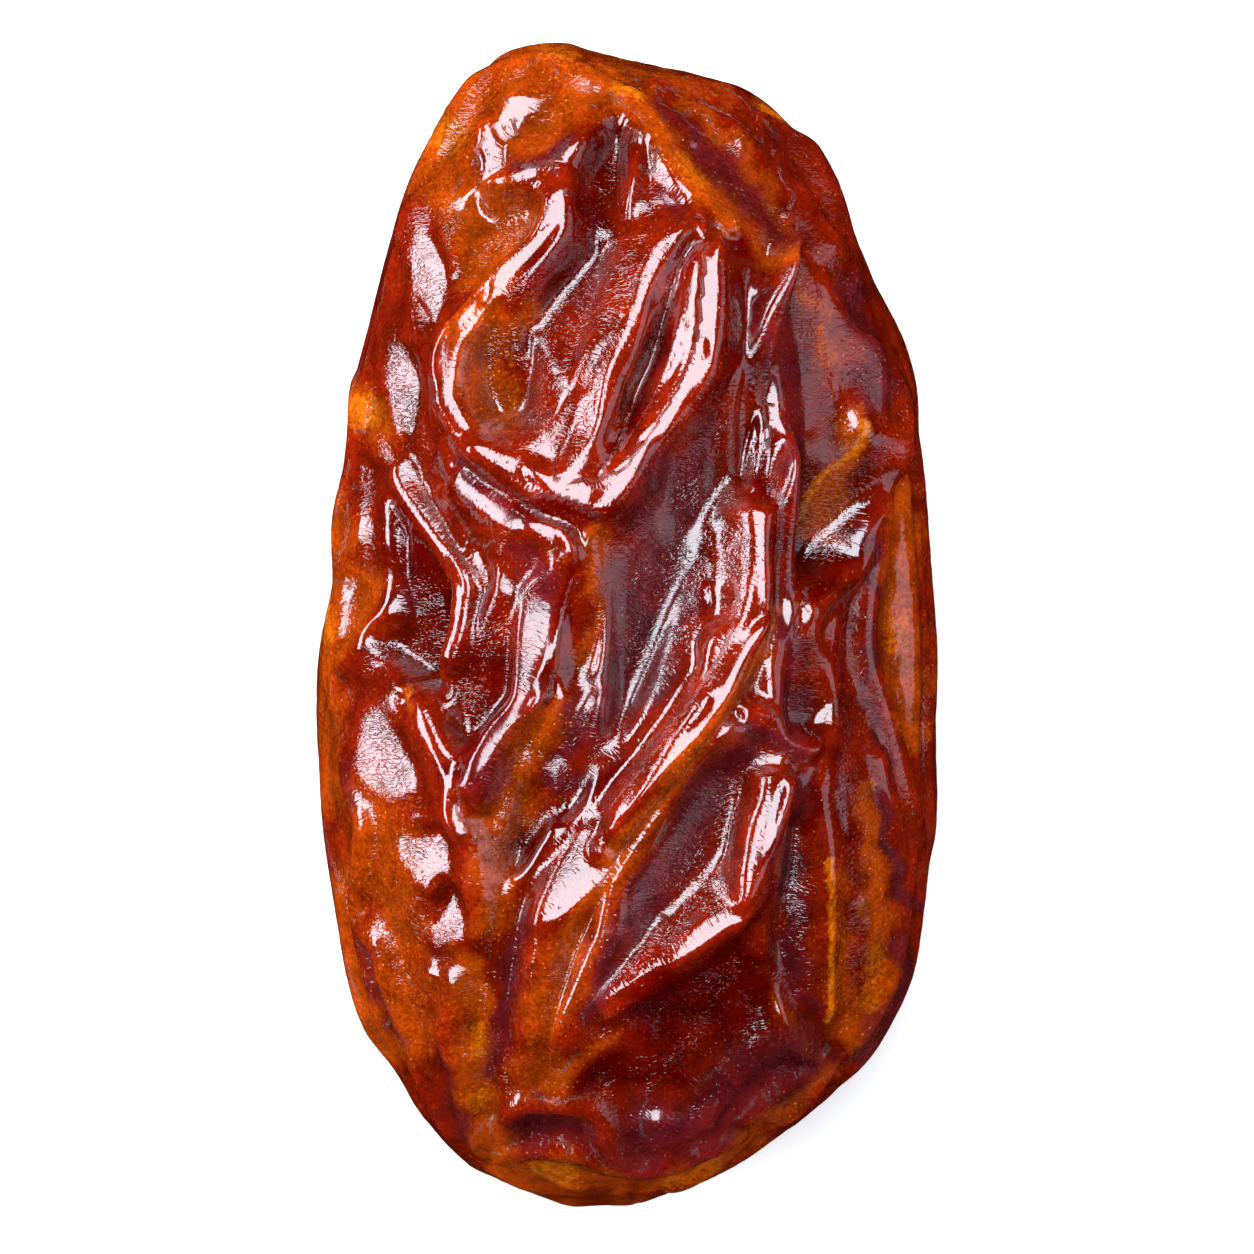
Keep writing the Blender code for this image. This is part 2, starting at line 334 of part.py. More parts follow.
# Each facet, flattened like taut skin: middle x and y, half length, half width, turn of its length
# from +Y, its slope towards +X, its slope towards +Y, and how flat it is
FACETS = {
    "left dish": (-5.7, 15.7, 2.3, 1.7, -20, 0.32, -0.6, 0.95),
    "left rim slope": (-7.3, 17.7, 1.6, 0.8, -55, 0.8, -0.75, 0.9),
    "cup floor": (-5.2, 10.2, 2.6, 1.1, -4, 0.28, 0.3, 1.0),
    "cup back": (-2.4, 12.4, 2.6, 1.1, -24, 0.32, -0.45, 0.85),
    "upper trough": (-0.9, 17.4, 2.2, 0.9, -10, -0.16, -0.6, 0.9),
    "left pocket": (-8.5, 0.6, 3.4, 1.2, 2, 0.6, 0.38, 0.95),
    "left plate floor": (-5.6, -1.6, 3.8, 1.1, -14, 0.3, 0.25, 0.95),
    "lobe floor": (-4.4, 2.4, 0.9, 1.0, 60, 0.3, 0.3, 0.95),
    "central hollow": (0.8, 1.2, 4.6, 1.4, -14, -0.2, 0.2, 0.6),
    "upper middle": (2.7, 5.6, 2.2, 1.4, -20, -0.25, 0.15, 0.8),
    "right upper middle": (4.4, 7.4, 2.4, 0.9, -10, -0.28, 0.2, 0.95),
    "middle triangle": (-2.3, -5.6, 2.6, 1.0, -25, 0.3, 0.28, 0.9),
    "middle low": (-3.9, -7.4, 2.4, 0.8, -20, 0.32, 0.3, 0.9),
    "lower right plain": (4.2, -18.0, 1.8, 1.0, -50, -0.35, 0.55, 0.9),
    "lower middle plain": (0.8, -19.2, 1.5, 0.9, 90, -0.1, 0.6, 0.9),
    "lower left plain": (-3.6, -18.5, 1.4, 0.8, 80, 0.2, 0.6, 0.9),
    "pocket foot": (-8.9, -0.7, 1.5, 1.3, 0, 0.6, 0.38, 1.0),
    "right lip plain": (5.4, 10.6, 4.6, 0.55, -10, -0.25, 0.22, 0.9),
    "right lip foot": (6.2, 3.4, 3.4, 0.55, -3, -0.25, 0.22, 0.9),
    "plum hollow": (2.9, -8.4, 3.4, 1.6, -36, -0.3, 0.08, 0.9),
    "lower hollow": (3.0, -16.5, 3.8, 2.2, -62, -0.3, 0.35, 0.95),
    "oval hollow": (0.4, -18.3, 2.2, 0.9, 80, -0.1, 0.45, 0.8),
    "hook": (-5.75, 18.5, 1.7, 0.61, -6, 0.07, -0.22, 1.0),
    "hook head": (-4.6, 20.5, 1.1, 0.62, -42, 0.07, -0.22, 1.0),
    "rim corner": (-4.2, 17.55, 1.6, 0.42, -73, 0.05, -0.25, 1.0),
    "rim bend": (-2.95, 17.4, 0.8, 0.5, -35, 0.06, -0.22, 1.0),
    "rim top": (-3.1, 16.0, 1.8, 0.52, -17, 0.06, -0.2, 1.0),
    "rim upper": (-4.5, 14.05, 2.3, 0.56, -43, 0.1, -0.2, 1.0),
    "rim shoulder": (-6.15, 11.95, 1.5, 0.48, -28, 0.14, -0.15, 1.0),
    "rim left": (-6.82, 10.0, 1.8, 0.42, 0, 0.14, -0.08, 1.0),
    "rim lower left": (-6.35, 7.8, 1.7, 0.45, 26, 0.12, -0.08, 1.0),
    "rim bottom left": (-4.7, 6.2, 2.0, 0.5, 59, 0.08, -0.05, 1.0),
    "rim bottom": (-2.4, 5.25, 1.6, 0.5, 70, 0.05, -0.1, 1.0),
    "rim right foot": (-0.1, 5.8, 1.8, 0.45, -41, 0.0, -0.1, 1.0),
    "rim right": (2.0, 9.0, 2.6, 0.45, -28, 0.0, -0.1, 1.0),
    "rim right top": (3.2, 12.7, 2.2, 0.42, -4, 0.0, -0.15, 1.0),
    "white ridge": (-8.25, 3.9, 2.7, 0.3, 31, 0.55, -0.1, 1.0),
    "middle band top": (5.15, 2.2, 2.8, 0.3, 3, 0.02, -0.05, 1.0),
    "middle band": (4.2, -1.6, 2.2, 0.32, -31, 0.05, -0.1, 1.0),
    "middle band foot": (1.9, -5.1, 3.0, 0.3, -41, 0.06, -0.1, 1.0),
    "limb": (-2.6, 18.3, 1.3, 0.55, -41, 0.1, -0.25, 0.85),
    "shoulder plate": (-8.35, 14.4, 3.1, 0.7, 9, 0.54, -0.15, 1.0),
    "left cheek": (-9.55, 9.8, 2.5, 0.78, 11, 0.56, -0.1, 1.0),
    "left small facet": (-10.3, 6.9, 0.9, 0.5, 30, 0.58, -0.1, 1.0),
    "left blob": (-6.2, 2.2, 0.9, 0.65, 30, 0.52, -0.1, 1.0),
    "lower left facet": (-9.8, -5.4, 2.2, 1.2, 26, 0.56, -0.1, 1.0),
    "lower left knoll": (-8.0, -9.5, 1.7, 1.2, 28, 0.54, -0.1, 1.0),
    "lower left foot": (-7.3, -11.9, 1.4, 0.9, -10, 0.52, -0.1, 1.0),
    "cup facet": (-1.3, 9.6, 2.4, 0.75, -17, 0.06, -0.12, 0.85),
    "cup facet top": (1.1, 14.2, 1.6, 0.55, -35, 0.03, -0.2, 0.85),
    "cup shelf": (-2.9, 7.4, 1.7, 0.8, -30, 0.08, -0.1, 0.85),
    "plate corner": (-3.3, 3.5, 0.9, 0.32, 62, 0.05, 0.0, 1.0),
    "plate": (-3.8, -0.8, 2.8, 0.8, -14, 0.06, -0.05, 1.0),
    "plate foot": (-5.0, -4.2, 2.2, 0.6, -33, 0.08, -0.05, 0.95),
    "middle silver": (3.5, -1.2, 1.4, 0.6, -20, 0.08, -0.05, 0.95),
    "white patch": (-2.0, -9.9, 2.5, 1.0, -38, 0.05, -0.1, 1.0),
    "hollow ridge": (5.1, -8.6, 3.0, 0.6, -15, -0.1, -0.05, 0.95),
    "hollow ridge foot": (3.1, -12.3, 2.0, 0.5, -56, 0.0, -0.05, 1.0),
    "amber band": (-1.7, 0.6, 3.4, 0.65, -6, -0.25, 0.25, 0.9),
    "right pinch plain": (8.7, 5.4, 3.0, 1.5, -20, -0.5, 0.35, 1.0),
    "right knot plain": (7.3, -2.4, 2.4, 1.0, 0, -0.45, 0.35, 0.9),
    "right outer": (9.6, 10.1, 1.8, 0.6, 18, -0.5, -0.1, 0.7),
    "right upper": (6.2, 17.2, 3.0, 0.9, 36, -0.55, -0.3, 0.5),
    "right middle": (8.0, 10.6, 4.0, 1.15, 14, -0.45, -0.1, 0.9),
}

# How sharply a facet ends. One up to a half width in millimetres lies on a crest and rises, a wider one
# sinks, each by a share of the unevenness under it. How far a wider one keeps off a taut crest, and the
# least rate at which a move along the normal nears a facet's plane
FACET_EDGE = 4.0
FACET_CORNERS = 0.3
CREST_FACET = 0.6
FACET_RISE = 0.6
FACET_SINK = 0.6
CREST_CLEAR = (0.3, 0.8)
LEAST_RATE = 0.3


def remove_everything():
    for thing in list(bpy.data.objects):
        bpy.data.objects.remove(thing, do_unlink=True)


def smooth_step(low, high, value):
    share = np.clip((value - low) / (high - low), 0.0, 1.0)
    return share * share * (3.0 - 2.0 * share)


def smooth_max(first, second, merge=MERGE):
    """The larger of two heights, rounded where they meet."""
    apart = np.maximum(merge - np.abs(first - second), 0.0) / merge
    rounding = np.clip(second / merge, 0.0, 1.0) * merge * 0.25
    return np.maximum(first, second) + apart * apart * rounding


def outline_table():
    """Angle and distance of the outline's points, with slopes for a smooth closed curve."""
    points = np.array(OUTLINE, dtype=float)
    angle = np.arctan2(points[:, 1], points[:, 0])
    order = np.argsort(angle)
    angle, reach = angle[order], np.hypot(points[:, 0], points[:, 1])[order]
    turn = 2.0 * math.pi
    angle = np.concatenate([angle[-2:] - turn, angle, angle[:2] + turn])
    reach = np.concatenate([reach[-2:], reach, reach[:2]])
    slope = np.gradient(reach, angle)
    return angle, reach, slope


def outline_reach(x, y, table):
    """Distance from the middle to the outline in the direction of x and y."""
    knots, reach, slope = table
    angle = np.arctan2(y, x)
    at = np.clip(np.searchsorted(knots, angle, side="right") - 1, 0, len(knots) - 2)
    span = knots[at + 1] - knots[at]
    t = (angle - knots[at]) / span
    return (
        reach[at] * (1 + 2 * t) * (1 - t) ** 2
        + slope[at] * span * t * (1 - t) ** 2
        + reach[at + 1] * t * t * (3 - 2 * t)
        + slope[at + 1] * span * t * t * (t - 1)
    )


def fullness(x, y):
    """How square the section is, between its value across the fruit and its value along it."""
    along = y * y / (x * x + y * y + 1e-9)
    return FULLNESS_ACROSS + (FULLNESS_ALONG - FULLNESS_ACROSS) * along


def body_points(sphere, table):
    """Move the points of a unit sphere on to the smooth body."""
    x, y = sphere[:, 0] * HALF_WIDTH, sphere[:, 1] * HALF_LENGTH
    share = np.clip(np.hypot(sphere[:, 0], sphere[:, 1]), 0.0, 1.0)
    angle = np.arctan2(y, x)
    ellipse = HALF_WIDTH * HALF_LENGTH / np.hypot(HALF_LENGTH * np.cos(angle), HALF_WIDTH * np.sin(angle))
    grow = outline_reach(x, y, table) / ellipse
    power = fullness(x, y)
    rise = (1.0 - share ** power) ** (1.0 / power)
    height = np.where(sphere[:, 2] > 0, TOP_HEIGHT, -UNDER_HEIGHT)
    return np.stack([x * grow, y * grow, EQUATOR_HEIGHT + height * rise], axis=1)


def on_body(x, y, table, upper=True):
    """Put points seen from above on to the smooth body."""
    share = np.clip(np.hypot(x, y) / outline_reach(x, y, table), 0.0, 0.998)
    power = fullness(x, y)
    rise = (1.0 - share ** power) ** (1.0 / power)
    height = TOP_HEIGHT if upper else -UNDER_HEIGHT
    return np.stack([x, y, EQUATOR_HEIGHT + height * rise], axis=1)


def smooth_path(corners, step=PATH_STEP):
    """A smooth curve through the corners, read at short steps."""
    corners = np.array(corners, dtype=float)
    ends = np.concatenate([[2 * corners[0] - corners[1]], corners, [2 * corners[-1] - corners[-2]]])
    path = []
    for before, here, there, after in zip(ends, ends[1:], ends[2:], ends[3:]):
        count = max(2, int(np.linalg.norm(there - here) / step))
        t = (np.arange(count) / count)[:, None]
        path.append(0.5 * (
            2 * here + (there - before) * t
            + (2 * before - 5 * here + 4 * there - after) * t * t
            + (3 * here - before - 3 * there + after) * t ** 3
        ))
    path.append(corners[-1:])
    return np.concatenate(path)


def near_path(points, path, reach):
    """Which points lie near a path, and for each its offset from the path and its place along it."""
    near = np.all((points > path.min(0) - reach) & (points < path.max(0) + reach), axis=1)
    index = np.nonzero(near)[0]
    here = points[index]
    closest = np.full(len(index), np.inf)
    place = np.zeros(len(index))
    offset = np.zeros((len(index), 3))
    heading = np.zeros((len(index), 3))
    run = 0.0
    for start, end in zip(path, path[1:]):
        length = np.linalg.norm(end - start)
        step = (end - start) / length
        from_start = here - start
        t = np.clip(from_start @ step, 0.0, length)
        gap = from_start - t[:, None] * step
        distance = np.einsum("ij,ij->i", gap, gap)
        closer = distance < closest
        closest[closer] = distance[closer]
        place[closer] = run + t[closer]
        offset[closer] = gap[closer]
        heading[closer] = step
        run += length
    return index, offset, heading, place, run


def level_lift(offset, facing):
    """Lift along the normal that makes the top of a fold level, where the body isn't steep."""
    across = 1.0 - smooth_step(LEVEL_ACROSS[0], LEVEL_ACROSS[1], np.abs(facing[:, 0]))
    along = 1.0 - smooth_step(LEVEL_ALONG[0], LEVEL_ALONG[1], np.abs(facing[:, 1]))
    return across * facing[:, 0] * offset[:, 0] + along * facing[:, 1] * offset[:, 1]


def belt_share(points, belt):
    """0 to 1 from the first to the second height of a belt round the body."""
    return smooth_step(belt[0], belt[1], points[:, 2] - EQUATOR_HEIGHT)


def ridge_heights(points, normals, path, height, left, right, fade, level=False):
    """Height that one fold gives each point, and which points it reaches."""
    rounding = TOP_ROUNDING * height + LEAST_ROUNDING
    band = TOP_BAND * height
    index, offset, heading, place, total = near_path(points, path, max(left, right) + rounding)
    facing = normals[index]
    side = np.einsum("ij,ij->i", np.cross(heading, offset), facing)
    distance = np.linalg.norm(offset, axis=1)
    rounded = np.hypot(np.maximum(distance - band, 0.0), rounding) - rounding
    lean = 0.5 + 0.5 * np.tanh(side / SIDE_BLEND)
    foot = np.hypot(right + (left - right) * lean, rounding) - rounding
    flank = np.clip(1.0 - rounded / foot, 0.0, 1.0) ** FLANK_CURVE
    start_fade = smooth_step(-FADE_START * fade[0], (1.0 - FADE_START) * fade[0] + 0.01, place)
    end_fade = smooth_step(-FADE_START * fade[1], (1.0 - FADE_START) * fade[1] + 0.01, total - place)
    raised = height * flank
    if level:
        top = np.exp(-((distance / (LEVEL_REACH * band + LEAST_ROUNDING)) ** 2))
        raised += top * level_lift(offset, facing)
    return index, raised * start_fade * end_fade


def ring_point(along, turn):
    """A point of the unit sphere by its place along the body and its turn round it, from +X under it."""
    across = np.sqrt(np.clip(1.0 - along * along, 0.0, 1.0))
    return np.stack([np.cos(turn) * across, along, -np.sin(turn) * across], axis=-1)


def long_lines(draw):
    """Wandering lines along the sides and the underside: place along the body, and turn round it."""
    lines = []
    for number in range(UNDER_FOLDS):
        share = (number + 0.5 + draw.uniform(-0.25, 0.25)) / UNDER_FOLDS
        turn = -UNDER_TURN + (math.pi + 2.0 * UNDER_TURN) * share
        start, end = draw.uniform(*UNDER_ENDS), -draw.uniform(*UNDER_ENDS)
        if number % 3 == 1:
            start = draw.uniform(*UNDER_BROKEN_ENDS)
        if number % 3 == 2:
            end = -draw.uniform(*UNDER_BROKEN_ENDS)
        along = np.linspace(start, end, 12)
        sway = sum(
            draw.uniform(*UNDER_SWAY) * np.sin(along * draw.uniform(*UNDER_WAVES) + draw.uniform(0, 6.3))
            for _ in range(3)
        )
        lines.append((along, turn + sway))
    return lines


def branch_line(draw, lines):
    """A short line from one long line to the next."""
    number = int(draw.integers(0, UNDER_FOLDS - 1))
    first, second = lines[number], lines[number + 1]
    start = draw.uniform(-0.8, 0.75)
    end = start + draw.choice([-1, 1]) * draw.uniform(*BRANCH_LENGTH)
    share = np.linspace(0.0, 1.0, 5)
    along = start + (end - start) * share
    from_turn = np.interp(along, first[0][::-1], first[1][::-1])
    to_turn = np.interp(along, second[0][::-1], second[1][::-1])
    return along, from_turn + (to_turn - from_turn) * smooth_step(0.0, 1.0, share)


def under_folds(table):
    """Folds of the sides, the underside and the ends: height, two flanks, fade and crest path."""
    draw = np.random.default_rng(UNDER_SEED)
    lines = long_lines(draw)
    folds = []
    for line in lines:
        height, left, right = (draw.uniform(*span) for span in (UNDER_HEIGHTS, UNDER_FLANKS, UNDER_FLANKS))
        folds.append((height, left, right, UNDER_FADE, line))
    for _ in range(BRANCHES):
        height = draw.uniform(*BRANCH_HEIGHTS)
        folds.append((height, BRANCH_FLANK, BRANCH_FLANK, UNDER_FADE, branch_line(draw, lines)))
    for end in (-1.0, 1.0):
        for number in range(GATHERS):
            turn = 2.0 * math.pi * (number + draw.uniform(-0.3, 0.3)) / GATHERS
            share = np.linspace(0.0, 1.0, 5)
            tip, foot = draw.uniform(*GATHER_TIPS), draw.uniform(*GATHER_FEET)
            sway = draw.uniform(-GATHER_SWAY, GATHER_SWAY) * share * share
            height = draw.uniform(*GATHER_HEIGHTS)
            line = (end * (tip + (foot - tip) * share), turn + sway)
            folds.append((height, GATHER_FLANK, GATHER_FLANK, GATHER_FADE, line))
    return [
        (height, left, right, (fade, fade), smooth_path(body_points(ring_point(*line), table), UNDER_STEP))
        for height, left, right, fade, line in folds
    ]


def under_dips(points, table):
    """Seeded dips and swells between the folds of the sides and the underside."""
    draw = np.random.default_rng(UNDER_SEED + 1)
    total = np.zeros(len(points))
    for _ in range(DIPS):
        along = draw.uniform(-0.95, 0.95)
        turn = draw.uniform(-UNDER_TURN, math.pi + UNDER_TURN)
        offset = points - body_points(ring_point(np.array([along]), np.array([turn])), table)[0]
        stretch = draw.uniform(*DIP_STRETCH)
        far = (offset[:, 1] / stretch) ** 2 + (offset[:, 0] ** 2 + offset[:, 2] ** 2)
        total += draw.uniform(*DIP_DEPTHS) * np.exp(-far / draw.uniform(*DIP_SIZES) ** 2)
    return total


def rest_share(points):
    """1 over the spot that it rests on, 0 well outside it."""
    spot = np.hypot(points[:, 0] / REST_HALF_WIDTH, points[:, 1] / REST_HALF_LENGTH)
    share = 1.0 - smooth_step(1.0, REST_SOFTNESS, spot)
    return np.where(points[:, 2] < EQUATOR_HEIGHT, share, 0.0)


def soft_patches(points, patches):
    """Sum of round-edged patches on the upper side."""
    total = np.zeros(len(points))
    for x, y, half_length, half_width, turn, depth in patches.values():
        angle = math.radians(turn)
        dx, dy = points[:, 0] - x, points[:, 1] - y
        along = -dx * math.sin(angle) + dy * math.cos(angle)
        across = dx * math.cos(angle) + dy * math.sin(angle)
        far = (along / half_length) ** 2 + (across / half_width) ** 2
        total += depth * np.exp(-far)
    return total * belt_share(points, PATCH_BELT)


def crest_distance(points, reach):
    """Distance seen from above to the nearest crest of a taut fold, up to the given reach."""
    seen = points * (1.0, 1.0, 0.0)
    nearest = np.full(len(points), reach)
    for name in LEVEL_FOLDS:
        line = smooth_path(FOLDS[name][-1])
        path = np.column_stack([line, np.zeros(len(line))])
        index, offset = near_path(seen, path, reach)[:2]
        nearest[index] = np.minimum(nearest[index], np.linalg.norm(offset, axis=1))
    return nearest


def facet_share(points, facet):
    """1 on a facet and 0 off it, and the height of its plane over its middle."""
    x, y, half_length, half_width, turn, slope_x, slope_y, flat = facet
    angle = math.radians(turn)
    dx, dy = points[:, 0] - x, points[:, 1] - y
    along = (-dx * math.sin(angle) + dy * math.cos(angle)) / half_length
    across = (dx * math.cos(angle) + dy * math.sin(angle)) / half_width
    corners = 1.0 + FACET_CORNERS * np.sin(3.0 * np.arctan2(across, along) + x + y)
    far = (along ** 2 + across ** 2) * corners
    share = np.exp(-(far ** FACET_EDGE)) * belt_share(points, FACET_BELT)
    return share, slope_x * dx + slope_y * dy


def flatten_facets(points, normals, raised):
    """Bring the facets of the upper side towards their planes, but not the taut crests beside them."""
    clear = smooth_step(CREST_CLEAR[0], CREST_CLEAR[1], crest_distance(points, CREST_CLEAR[1]))
    for facet in FACETS.values():
        slope_x, slope_y, flat = facet[-3:]
        share, plane = facet_share(points, facet)
        rate = normals[:, 2] - slope_x * normals[:, 0] - slope_y * normals[:, 1]
        above = points[:, 2] - plane + rate * raised
        on_crest = facet[3] <= CREST_FACET
        share = share if on_crest else share * clear
        level = np.sum(share * above) / np.sum(share)
        uneven = np.sqrt(np.sum(share * (above - level) ** 2) / np.sum(share))
        level += uneven * (FACET_RISE if on_crest else -FACET_SINK)
        raised += flat * share * (level - above) / np.maximum(rate, LEAST_RATE)


def lumps(points):
    """Gentle unevenness of the whole body."""
    return sum(
        height * np.sin(points @ np.array([wave_x, wave_y, wave_z]) + shift)
        for height, wave_x, wave_y, wave_z, shift in LUMPS
    )


def relief(points, normals, table):
    """How far each point of the smooth body moves out along its normal, in millimetres."""
    raised = np.zeros(len(points))
    upper = belt_share(points, UPPER_BELT)
    for name, (height, left, right, fade, crest) in FOLDS.items():
        seen = smooth_path(crest)
        path = on_body(seen[:, 0], seen[:, 1], table)
        level = name in LEVEL_FOLDS
        index, gain = ridge_heights(points, normals, path, height, left, right, fade, level)
        raised[index] = smooth_max(raised[index], gain * upper[index])
    under = belt_share(points, UNDER_BELT)
    for height, left, right, fade, path in under_folds(table):
        index, gain = ridge_heights(points, normals, path, height, left, right, fade)
        raised[index] = smooth_max(raised[index], gain * under[index])
    raised += under_dips(points, table) * under
    for depth, left, right, fade, line in CREASES.values():
        seen = smooth_path(line)
        path = on_body(seen[:, 0], seen[:, 1], table)
        index, cut = ridge_heights(points, normals, path, depth, left, right, fade)
        raised[index] -= cut * upper[index]
    raised += soft_patches(points, SWELLS) - soft_patches(points, HOLLOWS) + lumps(points)
    flatten_facets(points, normals, raised)
    rim = 1.0 - (1.0 - RIM_RELIEF) * np.exp(-((points[:, 2] - EQUATOR_HEIGHT) / RIM_BELT) ** 2)
    raised = (raised - SKIN_DROP) * rim
    return raised * (1.0 - rest_share(points)) + stem_scar(points)


def stem_scar(points):
    """A small round pit with a raised rim, where the stem was."""
    distance = np.linalg.norm(points - np.array(SCAR_PLACE), axis=1) / SCAR_RADIUS
    pit = -SCAR_DEPTH * np.exp(-((distance / SCAR_PIT_SHARE) ** 2))
    rim = SCAR_RIM * np.exp(-(((distance - 1.0) / SCAR_RIM_SHARE) ** 2))
    return pit + rim


def settle(points):
    """Rest the fruit on z = 0, with its middle over the origin and its driving width and length."""
    points[:, 2] = np.maximum(points[:, 2], 0.0)
    low, high = points.min(0), points.max(0)
    points[:, :2] -= (low + high)[:2] / 2.0
    points[:, :2] *= 2.0 * np.array([HALF_WIDTH, HALF_LENGTH]) / (high - low)[:2]


def fold_skin(mesh):
    """Turn a mesh of a unit sphere into the fruit's folded skin."""
    count = len(mesh.vertices)
    flat = np.zeros(count * 3)
    mesh.vertices.foreach_get("co", flat)
    table = outline_table()
    points = body_points(flat.reshape(-1, 3), table)
    mesh.vertices.foreach_set("co", points.ravel())
    mesh.update()
    mesh.vertex_normals.foreach_get("vector", flat)
    normals = flat.reshape(-1, 3).copy()
    points += normals * relief(points, normals, table)[:, None]
    settle(points)
    points *= MM
    mesh.vertices.foreach_set("co", points.ravel())
    mesh.update()


def skin_material():
    material = bpy.data.materials.new("date skin")
    material.use_nodes = True
    shader = material.node_tree.nodes["Principled BSDF"]
    shader.inputs["Base Color"].default_value = SKIN_COLOUR
    shader.inputs["Roughness"].default_value = SKIN_ROUGHNESS
    shader.inputs["Metallic"].default_value = 0.0
    return material


def make_fruit(collection):
    shape = bmesh.new()
    bmesh.ops.create_icosphere(shape, subdivisions=SPHERE_LEVEL, radius=1.0)
    mesh = bpy.data.meshes.new("date_fruit")
    shape.to_mesh(mesh)
    shape.free()
    fold_skin(mesh)
    mesh.shade_smooth()
    mesh.materials.append(skin_material())
    fruit = bpy.data.objects.new("date_fruit", mesh)
    collection.objects.link(fruit)
    soften = fruit.modifiers.new("rounded edges", "SMOOTH")
    soften.factor = SMOOTH_FACTOR
    soften.iterations = SMOOTH_ROUNDS
    thin = fruit.modifiers.new("fewer faces", "DECIMATE")
    thin.ratio = KEPT_TRIANGLES / len(mesh.polygons)
    level_rest_spot(fruit)
    return fruit


def level_rest_spot(fruit):
    """Keep the softened shape as the fruit's mesh, cut level where it rests."""
    seen = fruit.evaluated_get(bpy.context.evaluated_depsgraph_get())
    fruit.data = bpy.data.meshes.new_from_object(seen)
    fruit.modifiers.clear()
    for vertex in fruit.data.vertices:
        vertex.co.z = max(vertex.co.z - REST_CUT * MM, 0.0)


def main():
    remove_everything()
    collection = bpy.data.collections.new("date fruit")
    bpy.context.scene.collection.children.link(collection)
    make_fruit(collection)


main()
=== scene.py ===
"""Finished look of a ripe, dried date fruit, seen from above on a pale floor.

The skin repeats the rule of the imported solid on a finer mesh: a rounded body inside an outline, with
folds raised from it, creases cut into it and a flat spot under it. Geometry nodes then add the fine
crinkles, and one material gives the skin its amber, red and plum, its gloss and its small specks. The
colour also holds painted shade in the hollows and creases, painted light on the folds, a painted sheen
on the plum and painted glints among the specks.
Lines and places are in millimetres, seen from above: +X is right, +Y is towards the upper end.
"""

import math

import bpy
import numpy as np
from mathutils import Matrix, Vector


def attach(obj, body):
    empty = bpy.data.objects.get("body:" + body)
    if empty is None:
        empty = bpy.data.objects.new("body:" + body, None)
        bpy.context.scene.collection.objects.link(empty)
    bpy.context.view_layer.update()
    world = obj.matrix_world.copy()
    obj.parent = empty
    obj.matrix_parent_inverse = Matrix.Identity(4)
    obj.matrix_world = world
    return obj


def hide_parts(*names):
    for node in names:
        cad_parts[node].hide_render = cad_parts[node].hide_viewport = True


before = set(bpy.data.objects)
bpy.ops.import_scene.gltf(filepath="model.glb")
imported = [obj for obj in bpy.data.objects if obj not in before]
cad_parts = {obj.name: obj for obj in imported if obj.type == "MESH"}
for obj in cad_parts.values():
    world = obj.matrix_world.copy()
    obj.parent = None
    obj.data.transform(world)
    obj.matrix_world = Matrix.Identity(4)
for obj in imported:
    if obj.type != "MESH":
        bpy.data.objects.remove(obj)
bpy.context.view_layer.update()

MM = 0.001
PATH_STEP = 0.3

# Fineness of the skin: faces across, along and up the body
FACES_ACROSS = 106
FACES_ALONG = 184
FACES_UP = 98

# Driving dimensions of the body, in millimetres
HALF_WIDTH = 12.45
HALF_LENGTH = 23.3
EQUATOR_HEIGHT = 10.3
TOP_HEIGHT = 10.2
UNDER_HEIGHT = 10.7
FULLNESS_ACROSS = 2.15
FULLNESS_ALONG = 2.6
SKIN_DROP = 0.5
RIM_RELIEF = 0.2
RIM_BELT = 2.6
FLANK_CURVE = 1.7
MERGE = 0.15

# The top of a fold is a narrow level band, rounded at its edges: shares of the fold's height
TOP_BAND = 0.26
TOP_ROUNDING = 0.27
LEAST_ROUNDING = 0.08
SIDE_BLEND = 0.25
LEVEL_REACH = 0.8
FADE_START = 0.35

# A taut fold's top lies level where the body's normal leans less than the first, and keeps the body's
# slope where it leans more than the second: across the fruit, and along it
LEVEL_ACROSS = (0.48, 0.56)
LEVEL_ALONG = (0.62, 0.8)

# Belts round the body over which its rules fade in: two heights above the equator, in millimetres
UPPER_BELT = (-3.5, -0.5)
PATCH_BELT = (-1.0, 2.0)
FACET_BELT = (3.2, 5.6)
UNDER_BELT = (5.0, 2.0)

# The spot it rests on, in millimetres
REST_HALF_WIDTH = 3.8
REST_HALF_LENGTH = 7.2
REST_SOFTNESS = 2.3
REST_CUT = 0.3

# The stem scar at the lower end, in millimetres
SCAR_PLACE = (-0.8, -22.6, 7.6)
SCAR_RADIUS = 2.1
SCAR_DEPTH = 0.8
SCAR_PIT_SHARE = 0.6
SCAR_RIM = 0.35
SCAR_RIM_SHARE = 0.35

# Gentle unevenness of the whole body: height, waves along X, Y and Z in radians per millimetre, shift
LUMPS = (
    (0.16, 0.42, 0.31, 0.0, 0.9),
    (0.12, 0.0, -0.36, 0.55, 2.1),
    (0.10, 0.7, 0.23, -0.5, 0.0),
)

